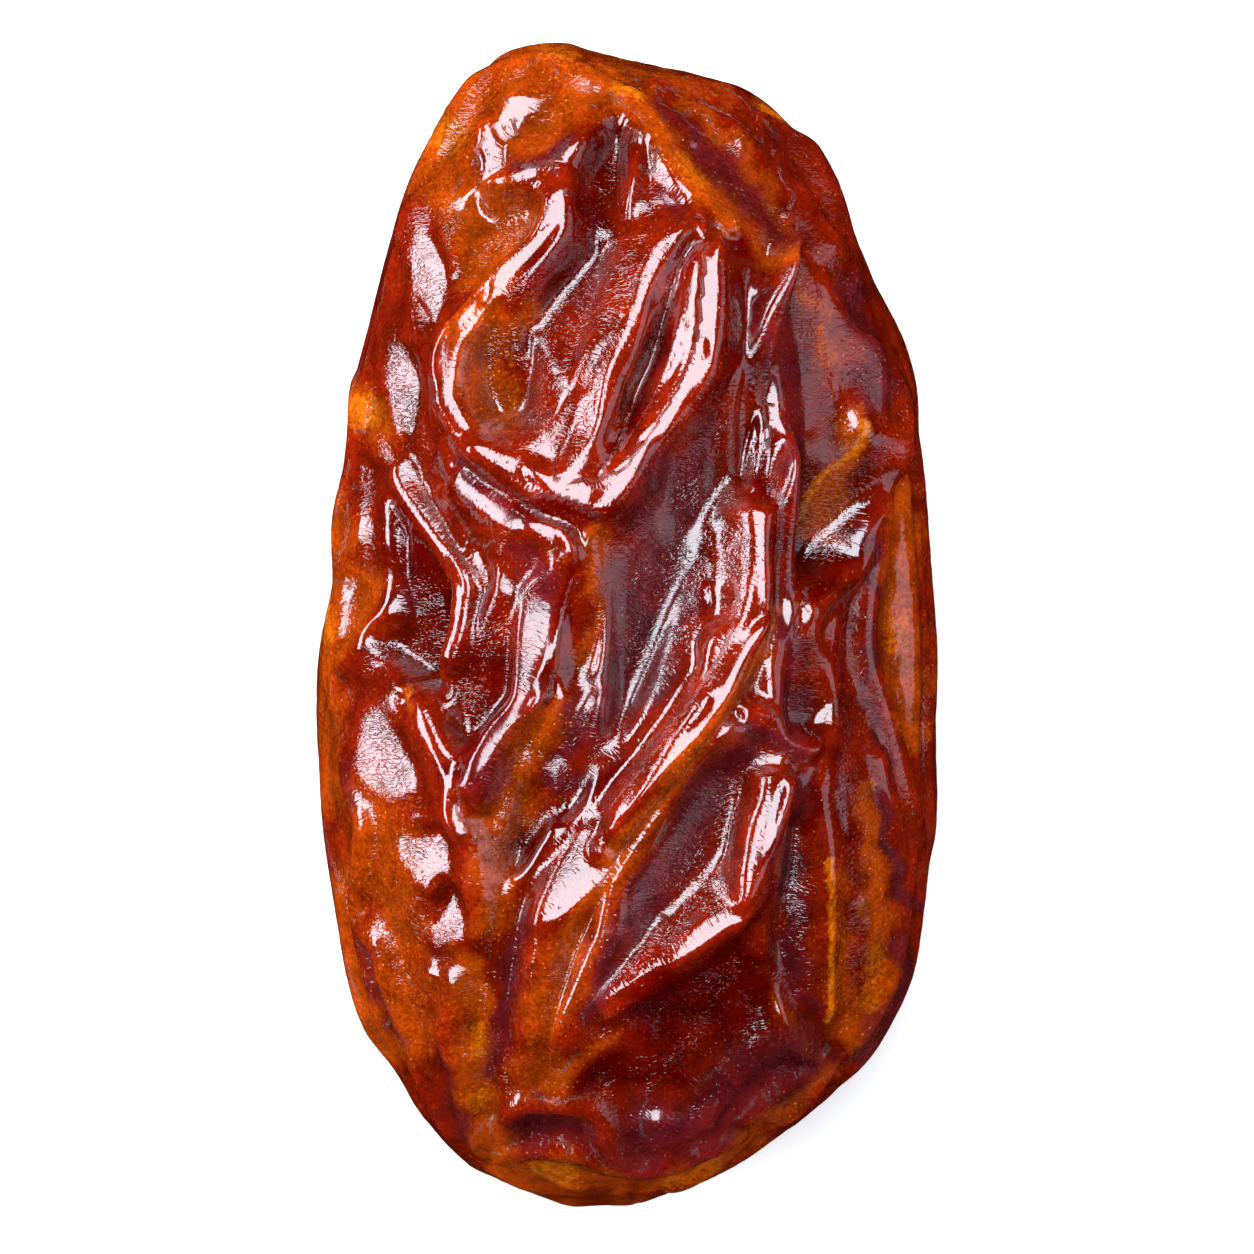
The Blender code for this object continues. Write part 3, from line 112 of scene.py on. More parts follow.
# Folds of the hidden underside follow a rule with seeded draws, and reach up the sides. Heights and
# flanks are in millimetres, turns in radians round the body's length, ends as shares of its half length
UNDER_SEED = 11
UNDER_STEP = 0.5
UNDER_FADE = 2.0
UNDER_FOLDS = 21
UNDER_TURN = 0.42
UNDER_HEIGHTS = (0.8, 1.3)
UNDER_FLANKS = (1.0, 1.8)
UNDER_ENDS = (0.72, 0.97)
UNDER_BROKEN_ENDS = (0.1, 0.6)
UNDER_SWAY = (0.03, 0.1)
UNDER_WAVES = (2.5, 9.0)
UNDER_JITTER = 0.25
SWAYS = 3
LONG_LINE_POINTS = 12
SHORT_LINE_POINTS = 5
BRANCHES = 60
BRANCH_STARTS = (-0.8, 0.75)
BRANCH_HEIGHTS = (0.45, 0.75)
BRANCH_FLANK = 1.2
BRANCH_LENGTH = (0.12, 0.32)
DIPS = 90
DIP_PLACES = 0.95
DIP_DEPTHS = (-0.55, 0.35)
DIP_SIZES = (1.2, 2.4)
DIP_STRETCH = (1.4, 2.8)

# Short folds gather towards each end of the body
GATHERS = 13
GATHER_JITTER = 0.3
GATHER_HEIGHTS = (0.4, 0.7)
GATHER_FLANK = 1.1
GATHER_TIPS = (0.972, 0.993)
GATHER_FEET = (0.80, 0.90)
GATHER_SWAY = 0.2
GATHER_FADE = 1.2

# The outline from above, clockwise from the upper end, and how much of it a line on the body reaches
OUTLINE = [
    (-3.1, 23.28), (0, 22.75), (3, 21.95), (5, 21.35), (5.9, 20.8), (7, 19.55), (8.1, 17.9),
    (9, 15.7), (9.9, 13.6), (11.05, 11.2), (11.5, 9.6), (11.62, 7.8), (11.8, 5.2), (12.05, 2.5),
    (12.3, 0), (12.48, -5.5), (12.4, -8.2), (11.95, -10), (11.65, -12.2), (11.3, -14.2),
    (10.6, -15.9), (9.3, -18), (8, -19.35), (6, -20.8), (4.2, -21.95), (1.8, -22.98),
    (-1, -23.33), (-3, -23.25), (-5, -22.7), (-6.4, -21.9), (-8.2, -20), (-9.4, -17.9),
    (-10.5, -16.4), (-11.3, -14.3), (-11.95, -11), (-12.4, -7), (-12.44, -4), (-12.15, 0),
    (-11.85, 1.3), (-11.85, 4.2), (-11.3, 6.8), (-11.15, 9.2), (-10.45, 12), (-9.65, 15),
    (-8.5, 18.5), (-6.8, 21.3), (-5, 22.85),
]
BODY_EDGE = 0.998

# Each fold: height, width of its left flank, width of its right flank, fade at its two ends, crest line
FOLDS = {
    "cup rim": (1.3, 2.3, 1.7, (0.8, 1.5), [
        (-5.65, 17.07), (-5.0, 17.5), (-4.2, 17.75), (-3.5, 17.65), (-3.0, 17.3), (-2.75, 16.7),
        (-2.85, 16.0), (-3.5, 15.0), (-4.5, 14.0), (-5.4, 13.0), (-6.25, 12.0), (-6.75, 11.0),
        (-6.87, 10.0), (-6.8, 9.0), (-6.5, 8.0), (-6.0, 7.1), (-5.0, 6.3), (-4.0, 5.85),
        (-3.0, 5.4), (-2.0, 5.1), (-1.3, 4.85), (-0.6, 5.1), (0.15, 6.0), (0.85, 7.0),
        (1.6, 8.0), (2.3, 9.0), (2.8, 10.0), (3.05, 11.0), (3.15, 12.5), (3.3, 14.2),
        (3.5, 15.4)]),
    "cup rim upper limb": (0.9, 0.9, 1.8, (0.2, 1.0), [
        (-2.75, 17.0), (-2.45, 17.8), (-2.2, 18.6), (-1.8, 19.3), (-1.2, 20.1)]),
    "cup inner crest": (1.1, 0.9, 3.2, (0.8, 0.8), [
        (3.5, 15.2), (2.3, 15.05), (1.7, 14.6), (1.05, 13.28), (0.48, 11.96), (0, 10.76),
        (-0.54, 9.62), (-0.78, 8.36), (-0.96, 7.22), (-1.47, 6.45), (-2.43, 5.59)]),
    "cup second crest": (0.9, 1.1, 0.8, (1.2, 0.8), [
        (2.6, 14.6), (2.5, 13), (2.25, 11.5), (1.8, 10), (1.2, 8.6), (0.5, 7.3), (-0.3, 6.3)]),
    "long middle crest": (1.2, 0.85, 1.5, (0.8, 1.2), [
        (5.2, 4.9), (5.3, 3.25), (5.15, 1.6), (4.8, 0.0), (4.4, -1.2), (3.8, -2.4),
        (3.15, -3.4), (2.5, -4.4), (1.75, -5.4), (1.05, -6.3), (0.35, -7.1), (-0.25, -8.0),
        (-0.9, -8.9)]),
    "middle crest foot": (1.0, 1.6, 1.8, (1.2, 3.0), [
        (-0.6, -8.6), (-1.2, -9.4), (-2.3, -10.8), (-3.2, -12.2), (-3.8, -15), (-4.3, -17.4)]),
    "long middle shoulder": (0.22, 1.0, 1.3, (1.0, 1.5), [
        (3.6, 1.2), (3.3, 0.3), (3, -0.8), (2.4, -1.8), (0.9, -3.9),
        (-0.6, -5.8), (-2.3, -7.7), (-3.7, -9.3), (-4.8, -11.2), (-5.2, -13.4), (-5.5, -16.6)]),
    "hollow lip": (0.95, 1.7, 0.9, (0.4, 2.0), [
        (4.48, -3.9), (3.66, -4.85), (2.27, -6.76), (0.71, -8.75), (-0.33, -10.2), (-0.87, -12.3),
        (-1.47, -13.7), (-2.25, -15.6), (-2.8, -17.5)]),
    "hollow arch": (0.85, 1.2, 1.0, (0.2, 0.2), [
        (4.3, -3.85), (5.05, -3.81), (6.09, -4.25), (7.13, -4.85), (7.5, -5.3)]),
    "hollow inner ridge": (1.1, 1.2, 1.5, (0.8, 1.0), [
        (6.1, -5.8), (5.85, -7.0), (5.55, -8.3), (5.2, -9.6), (4.85, -10.8), (4.3, -11.6),
        (3.3, -12.35), (2.2, -13.2), (1.0, -14.0), (-0.1, -14.7), (-1.4, -15.5)]),
    "left plate edge": (1.05, 0.8, 2.8, (0.5, 1.2), [
        (-7.02, 6.02), (-6.07, 5.07), (-4.94, 4.37), (-3.73, 3.77), (-2.6, 3.16), (-2.42, 2.03),
        (-2.82, 0.73), (-3.12, -0.52), (-3.34, -1.9), (-3.8, -2.95), (-4.94, -3.99),
        (-5.63, -5.37), (-6.07, -6.67), (-6.41, -7.37)]),
    "feathered rib": (0.4, 1.0, 0.8, (0.4, 1.5), [
        (-2.95, 4.6), (-1.8, 4), (-1.55, 3.3), (-1.8, 2.5), (-2.2, 0.8), (-2.5, -1.2),
        (-2.7, -2.8), (-3.4, -4.4)]),
    "pale crest": (0.6, 0.7, 0.9, (1.0, 0.6), [
        (-8.02, 11.65), (-7.8, 10.27), (-7.58, 8.8), (-7.45, 7.5), (-7.1, 5.93), (-6.67, 4.55),
        (-5.9, 3.5)]),
    "left white ridge": (0.8, 0.9, 1.1, (0.8, 1.0), [
        (-9.6, 6.6), (-9.1, 4.9), (-8.4, 3.85), (-7.7, 2.8), (-6.8, 1.6), (-6.8, 0.82),
        (-6.95, -0.4), (-7.5, -1.95)]),
    "left short ridge": (0.45, 0.8, 1.0, (0.5, 0.8), [
        (-8, 5.4), (-7.2, 4.2), (-6.5, 3), (-5.5, 2.6), (-4.8, 2.2)]),
    "pocket ridge": (0.35, 1.0, 1.4, (0.8, 0.4), [
        (-8.67, 2.64), (-7.89, 1.5), (-7.5, 0.3), (-7.6, -0.9), (-8.15, -1.73), (-9.1, -2.43),
        (-9.4, -3)]),
    "left lobe": (0.7, 1.2, 1.2, (0.8, 0.6), [
        (-9.97, 5.4), (-9.97, 4.2), (-9.9, 2.4), (-9.9, 0.9), (-10.49, -0.22), (-11.27, -1.3),
        (-11.8, -1.78)]),
    "left lobe rim": (0.5, 1.0, 1.0, (0.6, 0.5), [
        (-11.3, 6.63), (-11.16, 4.9), (-11.22, 3.16), (-11.57, 1.69), (-11.85, 1.1)]),
    "knot strip": (0.75, 1.0, 1.2, (0.3, 1.0), [
        (-8.67, -2.69), (-8.06, -3.99), (-7.37, -5.1), (-6.9, -6.24), (-6.85, -7.63), (-6.2, -9)]),
    "knot strip foot": (0.6, 1.0, 1.2, (0.5, 1.0), [
        (-6.4, -8.4), (-6.1, -11.1), (-6.37, -12.9)]),
    "upper beaded crest": (0.65, 1.3, 1.0, (0.4, 1.0), [
        (-5.65, 17.07), (-4.9, 17.9), (-3.9, 18.5), (-2.76, 19.08), (-1.62, 19.98),
        (-0.66, 20.3), (0.24, 19.8), (1.08, 19.02)]),
    "upper rim": (0.5, 1.2, 1.2, (1.0, 0.5), [
        (-6.3, 22), (-4.5, 22.47), (-3, 22.41), (-1.5, 21.75), (-0.06, 20.94), (0.72, 20.64)]),
    "hook": (0.6, 1.2, 1.2, (0.6, 0.6), [
        (-4.2, 21.3), (-5, 20.3), (-5.7, 19.4), (-6.1, 18.3), (-5.65, 17.1)]),
    "left rim": (0.6, 1.1, 1.0, (1.0, 1.0), [
        (-5.1, 20.6), (-6.3, 19.2), (-7.2, 18.0), (-8.4, 17), (-9, 15.6), (-9.45, 14.2),
        (-10, 12.7), (-10.45, 11), (-10.7, 9.6), (-11.1, 8.3)]),
    "left rim branch": (0.3, 0.8, 0.5, (0.2, 0.8), [
        (-6.75, 18.5), (-6.8, 17.3), (-6.5, 16.4), (-6.75, 15.4)]),
    "short facet ridge": (0.5, 0.8, 0.9, (0.4, 0.5), [
        (0.4, 19.1), (0.06, 17.7), (-0.54, 16.38)]),
    "amber spine": (0.7, 1.3, 1.1, (0.6, 0.5), [
        (-0.5, 21.3), (0.8, 20.1), (1.67, 18.45), (2.5, 16.98), (3.83, 15.77), (4.18, 15.2)]),
    "spine rib": (0.35, 0.8, 0.8, (0.6, 0.8), [
        (0.93, 20.8), (2.19, 19.93), (3.2, 18.9)]),
    "right lip top": (0.22, 1.3, 0.8, (1.0, 1.0), [
        (4.4, 15.3), (5.0, 13.7), (5.5, 12.1), (5.95, 10.6), (6.2, 9.1), (6.3, 7.84)]),
    "right lip": (0.5, 1.3, 0.9, (2.0, 0.3), [
        (6.2, 8.6), (6.3, 7.84), (6.6, 6.2),
        (6.69, 4.2), (6.5, 2.2), (6.69, 1.17), (6.2, -0.15), (5.78, -1.9), (6.04, -3.38),
        (6.95, -4.42), (7.5, -5.2), (7.04, -6.41), (6.35, -7.45), (6.04, -9.36), (5.61, -11.44),
        (5.35, -12.7), (5.83, -14.64), (6.87, -16.63), (7.82, -17.6), (8.75, -17.9)]),
    "upper right rim": (0.4, 0.9, 0.9, (0.6, 0.8), [
        (0.63, 21.66), (2.6, 21.57), (3.83, 21.5), (5.05, 20.9)]),
    "upper right streak": (0.22, 0.5, 0.5, (1.0, 1.0), [
        (1.6, 21.2), (3.4, 20.5), (5.0, 19.1), (6.3, 17.2)]),
    "upper right second streak": (0.2, 0.5, 0.5, (1.0, 1.0), [
        (3.0, 21.3), (5.0, 20.1), (6.7, 18.4), (7.8, 16.4)]),
    "upper right edge": (0.45, 0.9, 1.1, (0.6, 1.0), [
        (5.05, 20.4), (6.6, 19.75), (7.47, 18.8), (8.34, 17), (8.73, 15.68), (9.73, 13.77)]),
    "right rim ridge": (0.8, 1.2, 1.6, (1.2, 1.0), [
        (6.52, 17.76), (7.13, 16.55), (7.9, 15.4), (8.95, 14.3), (10.25, 12.65), (10.85, 11.1),
        (11.1, 9.3), (10.9, 7.4), (10.1, 5.5), (9.77, 3.25), (9.2, 2.03), (8.08, 1.25),
        (7.04, 0.13)]),
    "right side crest": (0.65, 1.0, 1.3, (0.8, 0.8), [
        (10.25, 5.67), (10.3, 3.16), (10.05, 0.5), (10.1, -1.4), (10.85, -3.8), (11.46, -6.4),
        (11.85, -8.2), (11.76, -9.5)]),
    "right side second": (0.45, 0.8, 0.9, (0.8, 0.8), [
        (10.3, -4.85), (10.64, -6.76), (11.07, -8.5), (11.33, -10.2)]),
    "right side rim": (0.4, 0.9, 0.9, (0.8, 0.8), [
        (11.7, 4.4), (11.76, 2.3), (12.1, -0.3), (12.37, -3), (12.3, -4.5)]),
    "lower right rim": (0.5, 0.9, 1.2, (0.8, 0.2), [
        (11.16, -12.9), (11.0, -14.4), (10.25, -16.03), (8.95, -17.93)]),
    "lower right fold": (0.5, 0.8, 1.0, (0.2, 0.8), [
        (8.69, -18.02), (7.21, -18.63), (6.09, -19.4), (4.53, -20.45)]),
    "lower right edge": (0.5, 0.8, 0.7, (0.2, 0.8), [
        (8.86, -18.37), (7.3, -19.4), (5.91, -20.6), (5.13, -21.3)]),
    "gold line": (0.3, 0.9, 0.9, (0.8, 0.8), [
        (9.38, 1.95), (8.86, 0.73), (8.3, -1.56), (8, -4.2), (7.78, -6.9), (8.2, -9.8),
        (8.34, -12.7), (8.38, -16.2)]),
    "right facet crest": (0.3, 1.2, 0.8, (0.8, 0.8), [
        (7.6, 14.0), (8.17, 12.04), (8.5, 10.87), (8.9, 9.4), (9.55, 7.15)]),
    "lower left rim": (0.55, 0.9, 0.9, (0.8, 0.8), [
        (-11.66, -4.85), (-11.1, -6.76), (-10.73, -8.06), (-11.05, -10.2), (-11.2, -11.9),
        (-10.75, -13.95), (-10.3, -15.7), (-9.45, -17.5)]),
    "lower left outer": (0.4, 0.8, 0.8, (0.6, 0.4), [
        (-12.26, -7.8), (-11.87, -9.45), (-11.27, -10.9)]),
    "lower left second": (0.6, 1.1, 0.9, (0.6, 0.6), [
        (-11.1, -12.2), (-10.4, -12.9), (-9.88, -14.64), (-9.27, -16.37), (-8.58, -18.6),
        (-7.9, -20), (-7.45, -20.8)]),
    "lower left third": (0.6, 1.0, 0.9, (0.6, 0.4), [
        (-8.45, -14.1), (-7.45, -14.3), (-7.35, -15.3), (-7.6, -16.6), (-7.24, -17.85),
        (-6.98, -19.15), (-6.46, -20.97), (-6.2, -21.8)]),
    "lower arc": (0.6, 1.0, 1.2, (0.6, 0.8), [
        (-3.2, -19.06), (-2.34, -18.37), (-1.56, -17.5), (-0.52, -16.9), (0.4, -16.8)]),
    "lozenge rim": (0.5, 0.8, 0.8, (0.4, 0.4), [
        (-5.37, -21.14), (-5.03, -20), (-4.07, -19.52), (-1.73, -19.67), (-1.08, -20.36),
        (-0.7, -21.4), (-0.09, -22.05)]),
    "lower end rim": (0.5, 0.9, 0.8, (0.5, 0.8), [
        (-5.55, -22), (-4.68, -21.66), (-2, -21.75), (-0.87, -22.14), (1.06, -22.05),
        (2.88, -21.44), (4.7, -20.8), (5.2, -20.5)]),
    "lower faint ridge": (0.35, 0.9, 0.9, (0.8, 0.8), [
        (4.5, -16.3), (3.2, -17.9), (1.9, -19), (0.9, -20.3)]),
    "lower faint second": (0.35, 0.8, 0.8, (0.6, 0.6), [
        (5.6, -17.6), (4.5, -18.4), (3.4, -19.9), (2.9, -20.5)]),
    "small tongue": (0.35, 0.7, 0.7, (0.6, 0.6), [
        (4.5, 10), (4.9, 9), (5.3, 7.6)]),
}

# Folds whose tops are pulled taut and lie level
LEVEL_FOLDS = (
    "cup rim", "cup rim upper limb", "cup inner crest", "cup second crest", "long middle crest",
    "hollow inner ridge", "left white ridge", "knot strip",
)

# Each crease: depth, width of its left flank, width of its right flank, fade at its two ends, its line
CREASES = {
    "cup valley": (0.35, 0.5, 0.5, (0.6, 0.6), [
        (2.9, 15.0), (2, 14.5), (1.5, 13.6), (1.2, 12.5), (0.9, 11), (0.6, 10), (0.2, 9),
        (-0.3, 8), (-0.8, 6.8)]),
    "cup outer crease": (0.4, 0.6, 0.9, (0.8, 0.8), [
        (-4.6, 14.2), (-5.3, 13.4), (-6.4, 12.5), (-7.0, 11.5), (-7.3, 10.6)]),
    "plate crease": (0.5, 0.4, 0.4, (0.5, 0.8), [
        (-2.2, 2.3), (-2.4, 0.8), (-2.8, -0.6), (-3.0, -1.8), (-3.4, -2.9)]),
    "long right crease": (0.22, 0.6, 0.9, (0.6, 0.8), [
        (3.75, 15.4), (4.3, 13.9), (4.8, 12.2), (5.3, 10.6), (5.7, 9.1), (5.9, 7.8), (6.0, 6)]),
    "facet crease": (0.35, 0.7, 0.5, (0.8, 0.8), [
        (5.57, 14.64), (7.13, 13.6), (7.6, 12.5), (7.75, 10.9), (8.4, 9.4), (9.0, 7.84),
        (9.1, 6.6), (8.5, 5.76), (7.82, 4.2)]),
    "arch crease": (0.3, 0.6, 0.6, (0.5, 0.5), [
        (0.1, 15.9), (1.5, 16.4), (2.3, 16.5)]),
    "right pinch": (0.45, 0.9, 0.7, (0.8, 0.3), [
        (7.0, -7.5), (6.7, -10), (6.3, -12), (6.6, -14.5), (7.6, -16.6), (8.5, -17.6)]),
    "lower channel": (0.35, 0.9, 0.9, (1.5, 0.8), [
        (-4.1, -10.2), (-4.6, -13), (-4.9, -16), (-5.0, -18.6)]),
    "amber channel": (0.35, 0.8, 0.8, (1.0, 0.8), [
        (-5.9, -13), (-6.2, -15.5), (-6.2, -18), (-5.9, -20.5)]),
    "right dark band": (0.45, 0.8, 0.6, (0.6, 0.6), [
        (9.4, 3.0), (8.3, 2.3), (7.3, 1.6), (6.9, 1.2)]),
}

# Each hollow: middle x and y, half length, half width, turn of its length from +Y in degrees, depth
HOLLOWS = {
    "left dish": (-4.9, 15.3, 2.2, 1.1, -25, 0.75),
    "cup floor": (-5.0, 10.2, 3.0, 1.3, -3, 1.1),
    "upper hollow": (-1.1, 17.2, 2.6, 0.8, -6, 0.7),
    "upper hollow foot": (-2.3, 13.6, 1.8, 1.0, -12, 0.5),
    "middle hollow": (1.6, 1.4, 5.0, 1.7, -14, 0.85),
    "plum hollow": (2.8, -7.8, 3.4, 1.4, -38, 0.8),
    "lower hollow": (2.6, -15.3, 3.4, 1.7, -60, 0.7),
    "oval hollow": (0.9, -18.4, 2.9, 1.2, 75, 0.5),
    "lozenge": (-3.2, -20.7, 1.0, 1.7, 0, 0.4),
    "red pocket": (-8.8, 0.8, 2.8, 1.1, 0, 0.75),
    "right trough": (7.2, -9.5, 4.8, 0.9, -3, 0.55),
    "right upper trough": (7.8, 7.6, 3.2, 1.0, 16, 0.5),
    "channel": (-5.0, -14.0, 5.0, 0.9, -8, 0.4),
    "upper dimple": (-3.9, 20.8, 0.5, 0.5, 0, 0.25),
    "knot pit": (-9.2, -3.1, 0.6, 0.5, 0, 0.45),
    "right pit": (8.7, -17.9, 0.9, 0.7, -50, 0.5),
    "orange trough": (9.2, -12.6, 3.6, 0.9, 0, 0.35),
}

# Each swell: as a hollow, with its height
SWELLS = {
    "cup facet": (-1.4, 9.4, 3.2, 1.4, -16, 0.3),
    "shoulder plate": (-8.2, 14.6, 3.0, 1.0, 4, 0.3),
    "left cheek": (-9.2, 9.4, 3.2, 0.9, 5, 0.25),
    "lower left facet": (-9.8, -5.4, 1.9, 1.3, 35, 0.35),
    "lower left knoll": (-8.0, -9.2, 2.0, 1.3, 10, 0.3),
    "plate": (-5.2, 0.4, 3.8, 1.6, -8, 0.3),
    "white patch": (-2.4, -9.7, 2.0, 0.9, -38, 0.25),
    "upper dome": (-3.2, 21.2, 2.0, 3.0, 0, 0.2),
    "right facet": (6.2, 17.0, 4.0, 1.2, 36, 0.25),
    "right lower facet": (9.5, 10.8, 3.2, 0.9, 18, 0.25),
}

# Each facet, flattened like taut skin: middle x and y, half length, half width, turn of its length
# from +Y, its slope towards +X, its slope towards +Y, and how flat it is
FACETS = {
    "left dish": (-5.7, 15.7, 2.3, 1.7, -20, 0.32, -0.6, 0.95),
    "left rim slope": (-7.3, 17.7, 1.6, 0.8, -55, 0.8, -0.75, 0.9),
    "cup floor": (-5.2, 10.2, 2.6, 1.1, -4, 0.28, 0.3, 1.0),
    "cup back": (-2.4, 12.4, 2.6, 1.1, -24, 0.32, -0.45, 0.85),
    "upper trough": (-0.9, 17.4, 2.2, 0.9, -10, -0.16, -0.6, 0.9),
    "left pocket": (-8.5, 0.6, 3.4, 1.2, 2, 0.6, 0.38, 0.95),
    "left plate floor": (-5.6, -1.6, 3.8, 1.1, -14, 0.3, 0.25, 0.95),
    "lobe floor": (-4.4, 2.4, 0.9, 1.0, 60, 0.3, 0.3, 0.95),
    "central hollow": (0.8, 1.2, 4.6, 1.4, -14, -0.2, 0.2, 0.6),
    "upper middle": (2.7, 5.6, 2.2, 1.4, -20, -0.25, 0.15, 0.8),
    "right upper middle": (4.4, 7.4, 2.4, 0.9, -10, -0.28, 0.2, 0.95),
    "middle triangle": (-2.3, -5.6, 2.6, 1.0, -25, 0.3, 0.28, 0.9),
    "middle low": (-3.9, -7.4, 2.4, 0.8, -20, 0.32, 0.3, 0.9),
    "lower right plain": (4.2, -18.0, 1.8, 1.0, -50, -0.35, 0.55, 0.9),
    "lower middle plain": (0.8, -19.2, 1.5, 0.9, 90, -0.1, 0.6, 0.9),
    "lower left plain": (-3.6, -18.5, 1.4, 0.8, 80, 0.2, 0.6, 0.9),
    "pocket foot": (-8.9, -0.7, 1.5, 1.3, 0, 0.6, 0.38, 1.0),
    "right lip plain": (5.4, 10.6, 4.6, 0.55, -10, -0.25, 0.22, 0.9),
    "right lip foot": (6.2, 3.4, 3.4, 0.55, -3, -0.25, 0.22, 0.9),
    "plum hollow": (2.9, -8.4, 3.4, 1.6, -36, -0.3, 0.08, 0.9),
    "lower hollow": (3.0, -16.5, 3.8, 2.2, -62, -0.3, 0.35, 0.95),
    "oval hollow": (0.4, -18.3, 2.2, 0.9, 80, -0.1, 0.45, 0.8),
    "hook": (-5.75, 18.5, 1.7, 0.61, -6, 0.07, -0.22, 1.0),
    "hook head": (-4.6, 20.5, 1.1, 0.62, -42, 0.07, -0.22, 1.0),
    "rim corner": (-4.2, 17.55, 1.6, 0.42, -73, 0.05, -0.25, 1.0),
    "rim bend": (-2.95, 17.4, 0.8, 0.5, -35, 0.06, -0.22, 1.0),
    "rim top": (-3.1, 16.0, 1.8, 0.52, -17, 0.06, -0.2, 1.0),
    "rim upper": (-4.5, 14.05, 2.3, 0.56, -43, 0.1, -0.2, 1.0),
    "rim shoulder": (-6.15, 11.95, 1.5, 0.48, -28, 0.14, -0.15, 1.0),
    "rim left": (-6.82, 10.0, 1.8, 0.42, 0, 0.14, -0.08, 1.0),
    "rim lower left": (-6.35, 7.8, 1.7, 0.45, 26, 0.12, -0.08, 1.0),
    "rim bottom left": (-4.7, 6.2, 2.0, 0.5, 59, 0.08, -0.05, 1.0),
    "rim bottom": (-2.4, 5.25, 1.6, 0.5, 70, 0.05, -0.1, 1.0),
    "rim right foot": (-0.1, 5.8, 1.8, 0.45, -41, 0.0, -0.1, 1.0),
    "rim right": (2.0, 9.0, 2.6, 0.45, -28, 0.0, -0.1, 1.0),
    "rim right top": (3.2, 12.7, 2.2, 0.42, -4, 0.0, -0.15, 1.0),
    "white ridge": (-8.25, 3.9, 2.7, 0.3, 31, 0.55, -0.1, 1.0),
    "middle band top": (5.15, 2.2, 2.8, 0.3, 3, 0.02, -0.05, 1.0),
    "middle band": (4.2, -1.6, 2.2, 0.32, -31, 0.05, -0.1, 1.0),
    "middle band foot": (1.9, -5.1, 3.0, 0.3, -41, 0.06, -0.1, 1.0),
    "limb": (-2.6, 18.3, 1.3, 0.55, -41, 0.1, -0.25, 0.85),
    "shoulder plate": (-8.35, 14.4, 3.1, 0.7, 9, 0.54, -0.15, 1.0),
    "left cheek": (-9.55, 9.8, 2.5, 0.78, 11, 0.56, -0.1, 1.0),
    "left small facet": (-10.3, 6.9, 0.9, 0.5, 30, 0.58, -0.1, 1.0),
    "left blob": (-6.2, 2.2, 0.9, 0.65, 30, 0.52, -0.1, 1.0),
    "lower left facet": (-9.8, -5.4, 2.2, 1.2, 26, 0.56, -0.1, 1.0),
    "lower left knoll": (-8.0, -9.5, 1.7, 1.2, 28, 0.54, -0.1, 1.0),
    "lower left foot": (-7.3, -11.9, 1.4, 0.9, -10, 0.52, -0.1, 1.0),
    "cup facet": (-1.3, 9.6, 2.4, 0.75, -17, 0.06, -0.12, 0.85),
    "cup facet top": (1.1, 14.2, 1.6, 0.55, -35, 0.03, -0.2, 0.85),
    "cup shelf": (-2.9, 7.4, 1.7, 0.8, -30, 0.08, -0.1, 0.85),
    "plate corner": (-3.3, 3.5, 0.9, 0.32, 62, 0.05, 0.0, 1.0),
    "plate": (-3.8, -0.8, 2.8, 0.8, -14, 0.06, -0.05, 1.0),
    "plate foot": (-5.0, -4.2, 2.2, 0.6, -33, 0.08, -0.05, 0.95),
    "middle silver": (3.5, -1.2, 1.4, 0.6, -20, 0.08, -0.05, 0.95),
    "white patch": (-2.0, -9.9, 2.5, 1.0, -38, 0.05, -0.1, 1.0),
    "hollow ridge": (5.1, -8.6, 3.0, 0.6, -15, -0.1, -0.05, 0.95),
    "hollow ridge foot": (3.1, -12.3, 2.0, 0.5, -56, 0.0, -0.05, 1.0),
    "amber band": (-1.7, 0.6, 3.4, 0.65, -6, -0.25, 0.25, 0.9),
    "right pinch plain": (8.7, 5.4, 3.0, 1.5, -20, -0.5, 0.35, 1.0),
    "right knot plain": (7.3, -2.4, 2.4, 1.0, 0, -0.45, 0.35, 0.9),
    "right outer": (9.6, 10.1, 1.8, 0.6, 18, -0.5, -0.1, 0.7),
    "right upper": (6.2, 17.2, 3.0, 0.9, 36, -0.55, -0.3, 0.5),
    "right middle": (8.0, 10.6, 4.0, 1.15, 14, -0.45, -0.1, 0.9),
}

# How sharply a facet ends. One up to a half width in millimetres lies on a crest and rises, a wider one
# sinks, each by a share of the unevenness under it. How far a wider one keeps off a taut crest, and the
# least rate at which a move along the normal nears a facet's plane
FACET_EDGE = 4.0
FACET_CORNERS = 0.3
CREST_FACET = 0.6
FACET_RISE = 0.6
FACET_SINK = 0.6
CREST_CLEAR = (0.3, 0.8)
LEAST_RATE = 0.3


def smooth_step(low, high, value):
    """0 below the low value, 1 above the high one, and a smooth rise between them."""
    share = np.clip((value - low) / (high - low), 0.0, 1.0)
    return share * share * (3.0 - 2.0 * share)


def smooth_max(first, second):
    """The larger of two heights, rounded where they meet."""
    apart = np.maximum(MERGE - np.abs(first - second), 0.0) / MERGE
    rounding = np.clip(second / MERGE, 0.0, 1.0) * MERGE * 0.25
    return np.maximum(first, second) + apart * apart * rounding


def outline_table():
    """Angle and distance of the outline's points, with slopes for a smooth closed curve."""
    points = np.array(OUTLINE, dtype=float)
    angle = np.arctan2(points[:, 1], points[:, 0])
    order = np.argsort(angle)
    angle, reach = angle[order], np.hypot(points[:, 0], points[:, 1])[order]
    turn = 2.0 * math.pi
    angle = np.concatenate([angle[-2:] - turn, angle, angle[:2] + turn])
    reach = np.concatenate([reach[-2:], reach, reach[:2]])
    slope = np.gradient(reach, angle)
    return angle, reach, slope


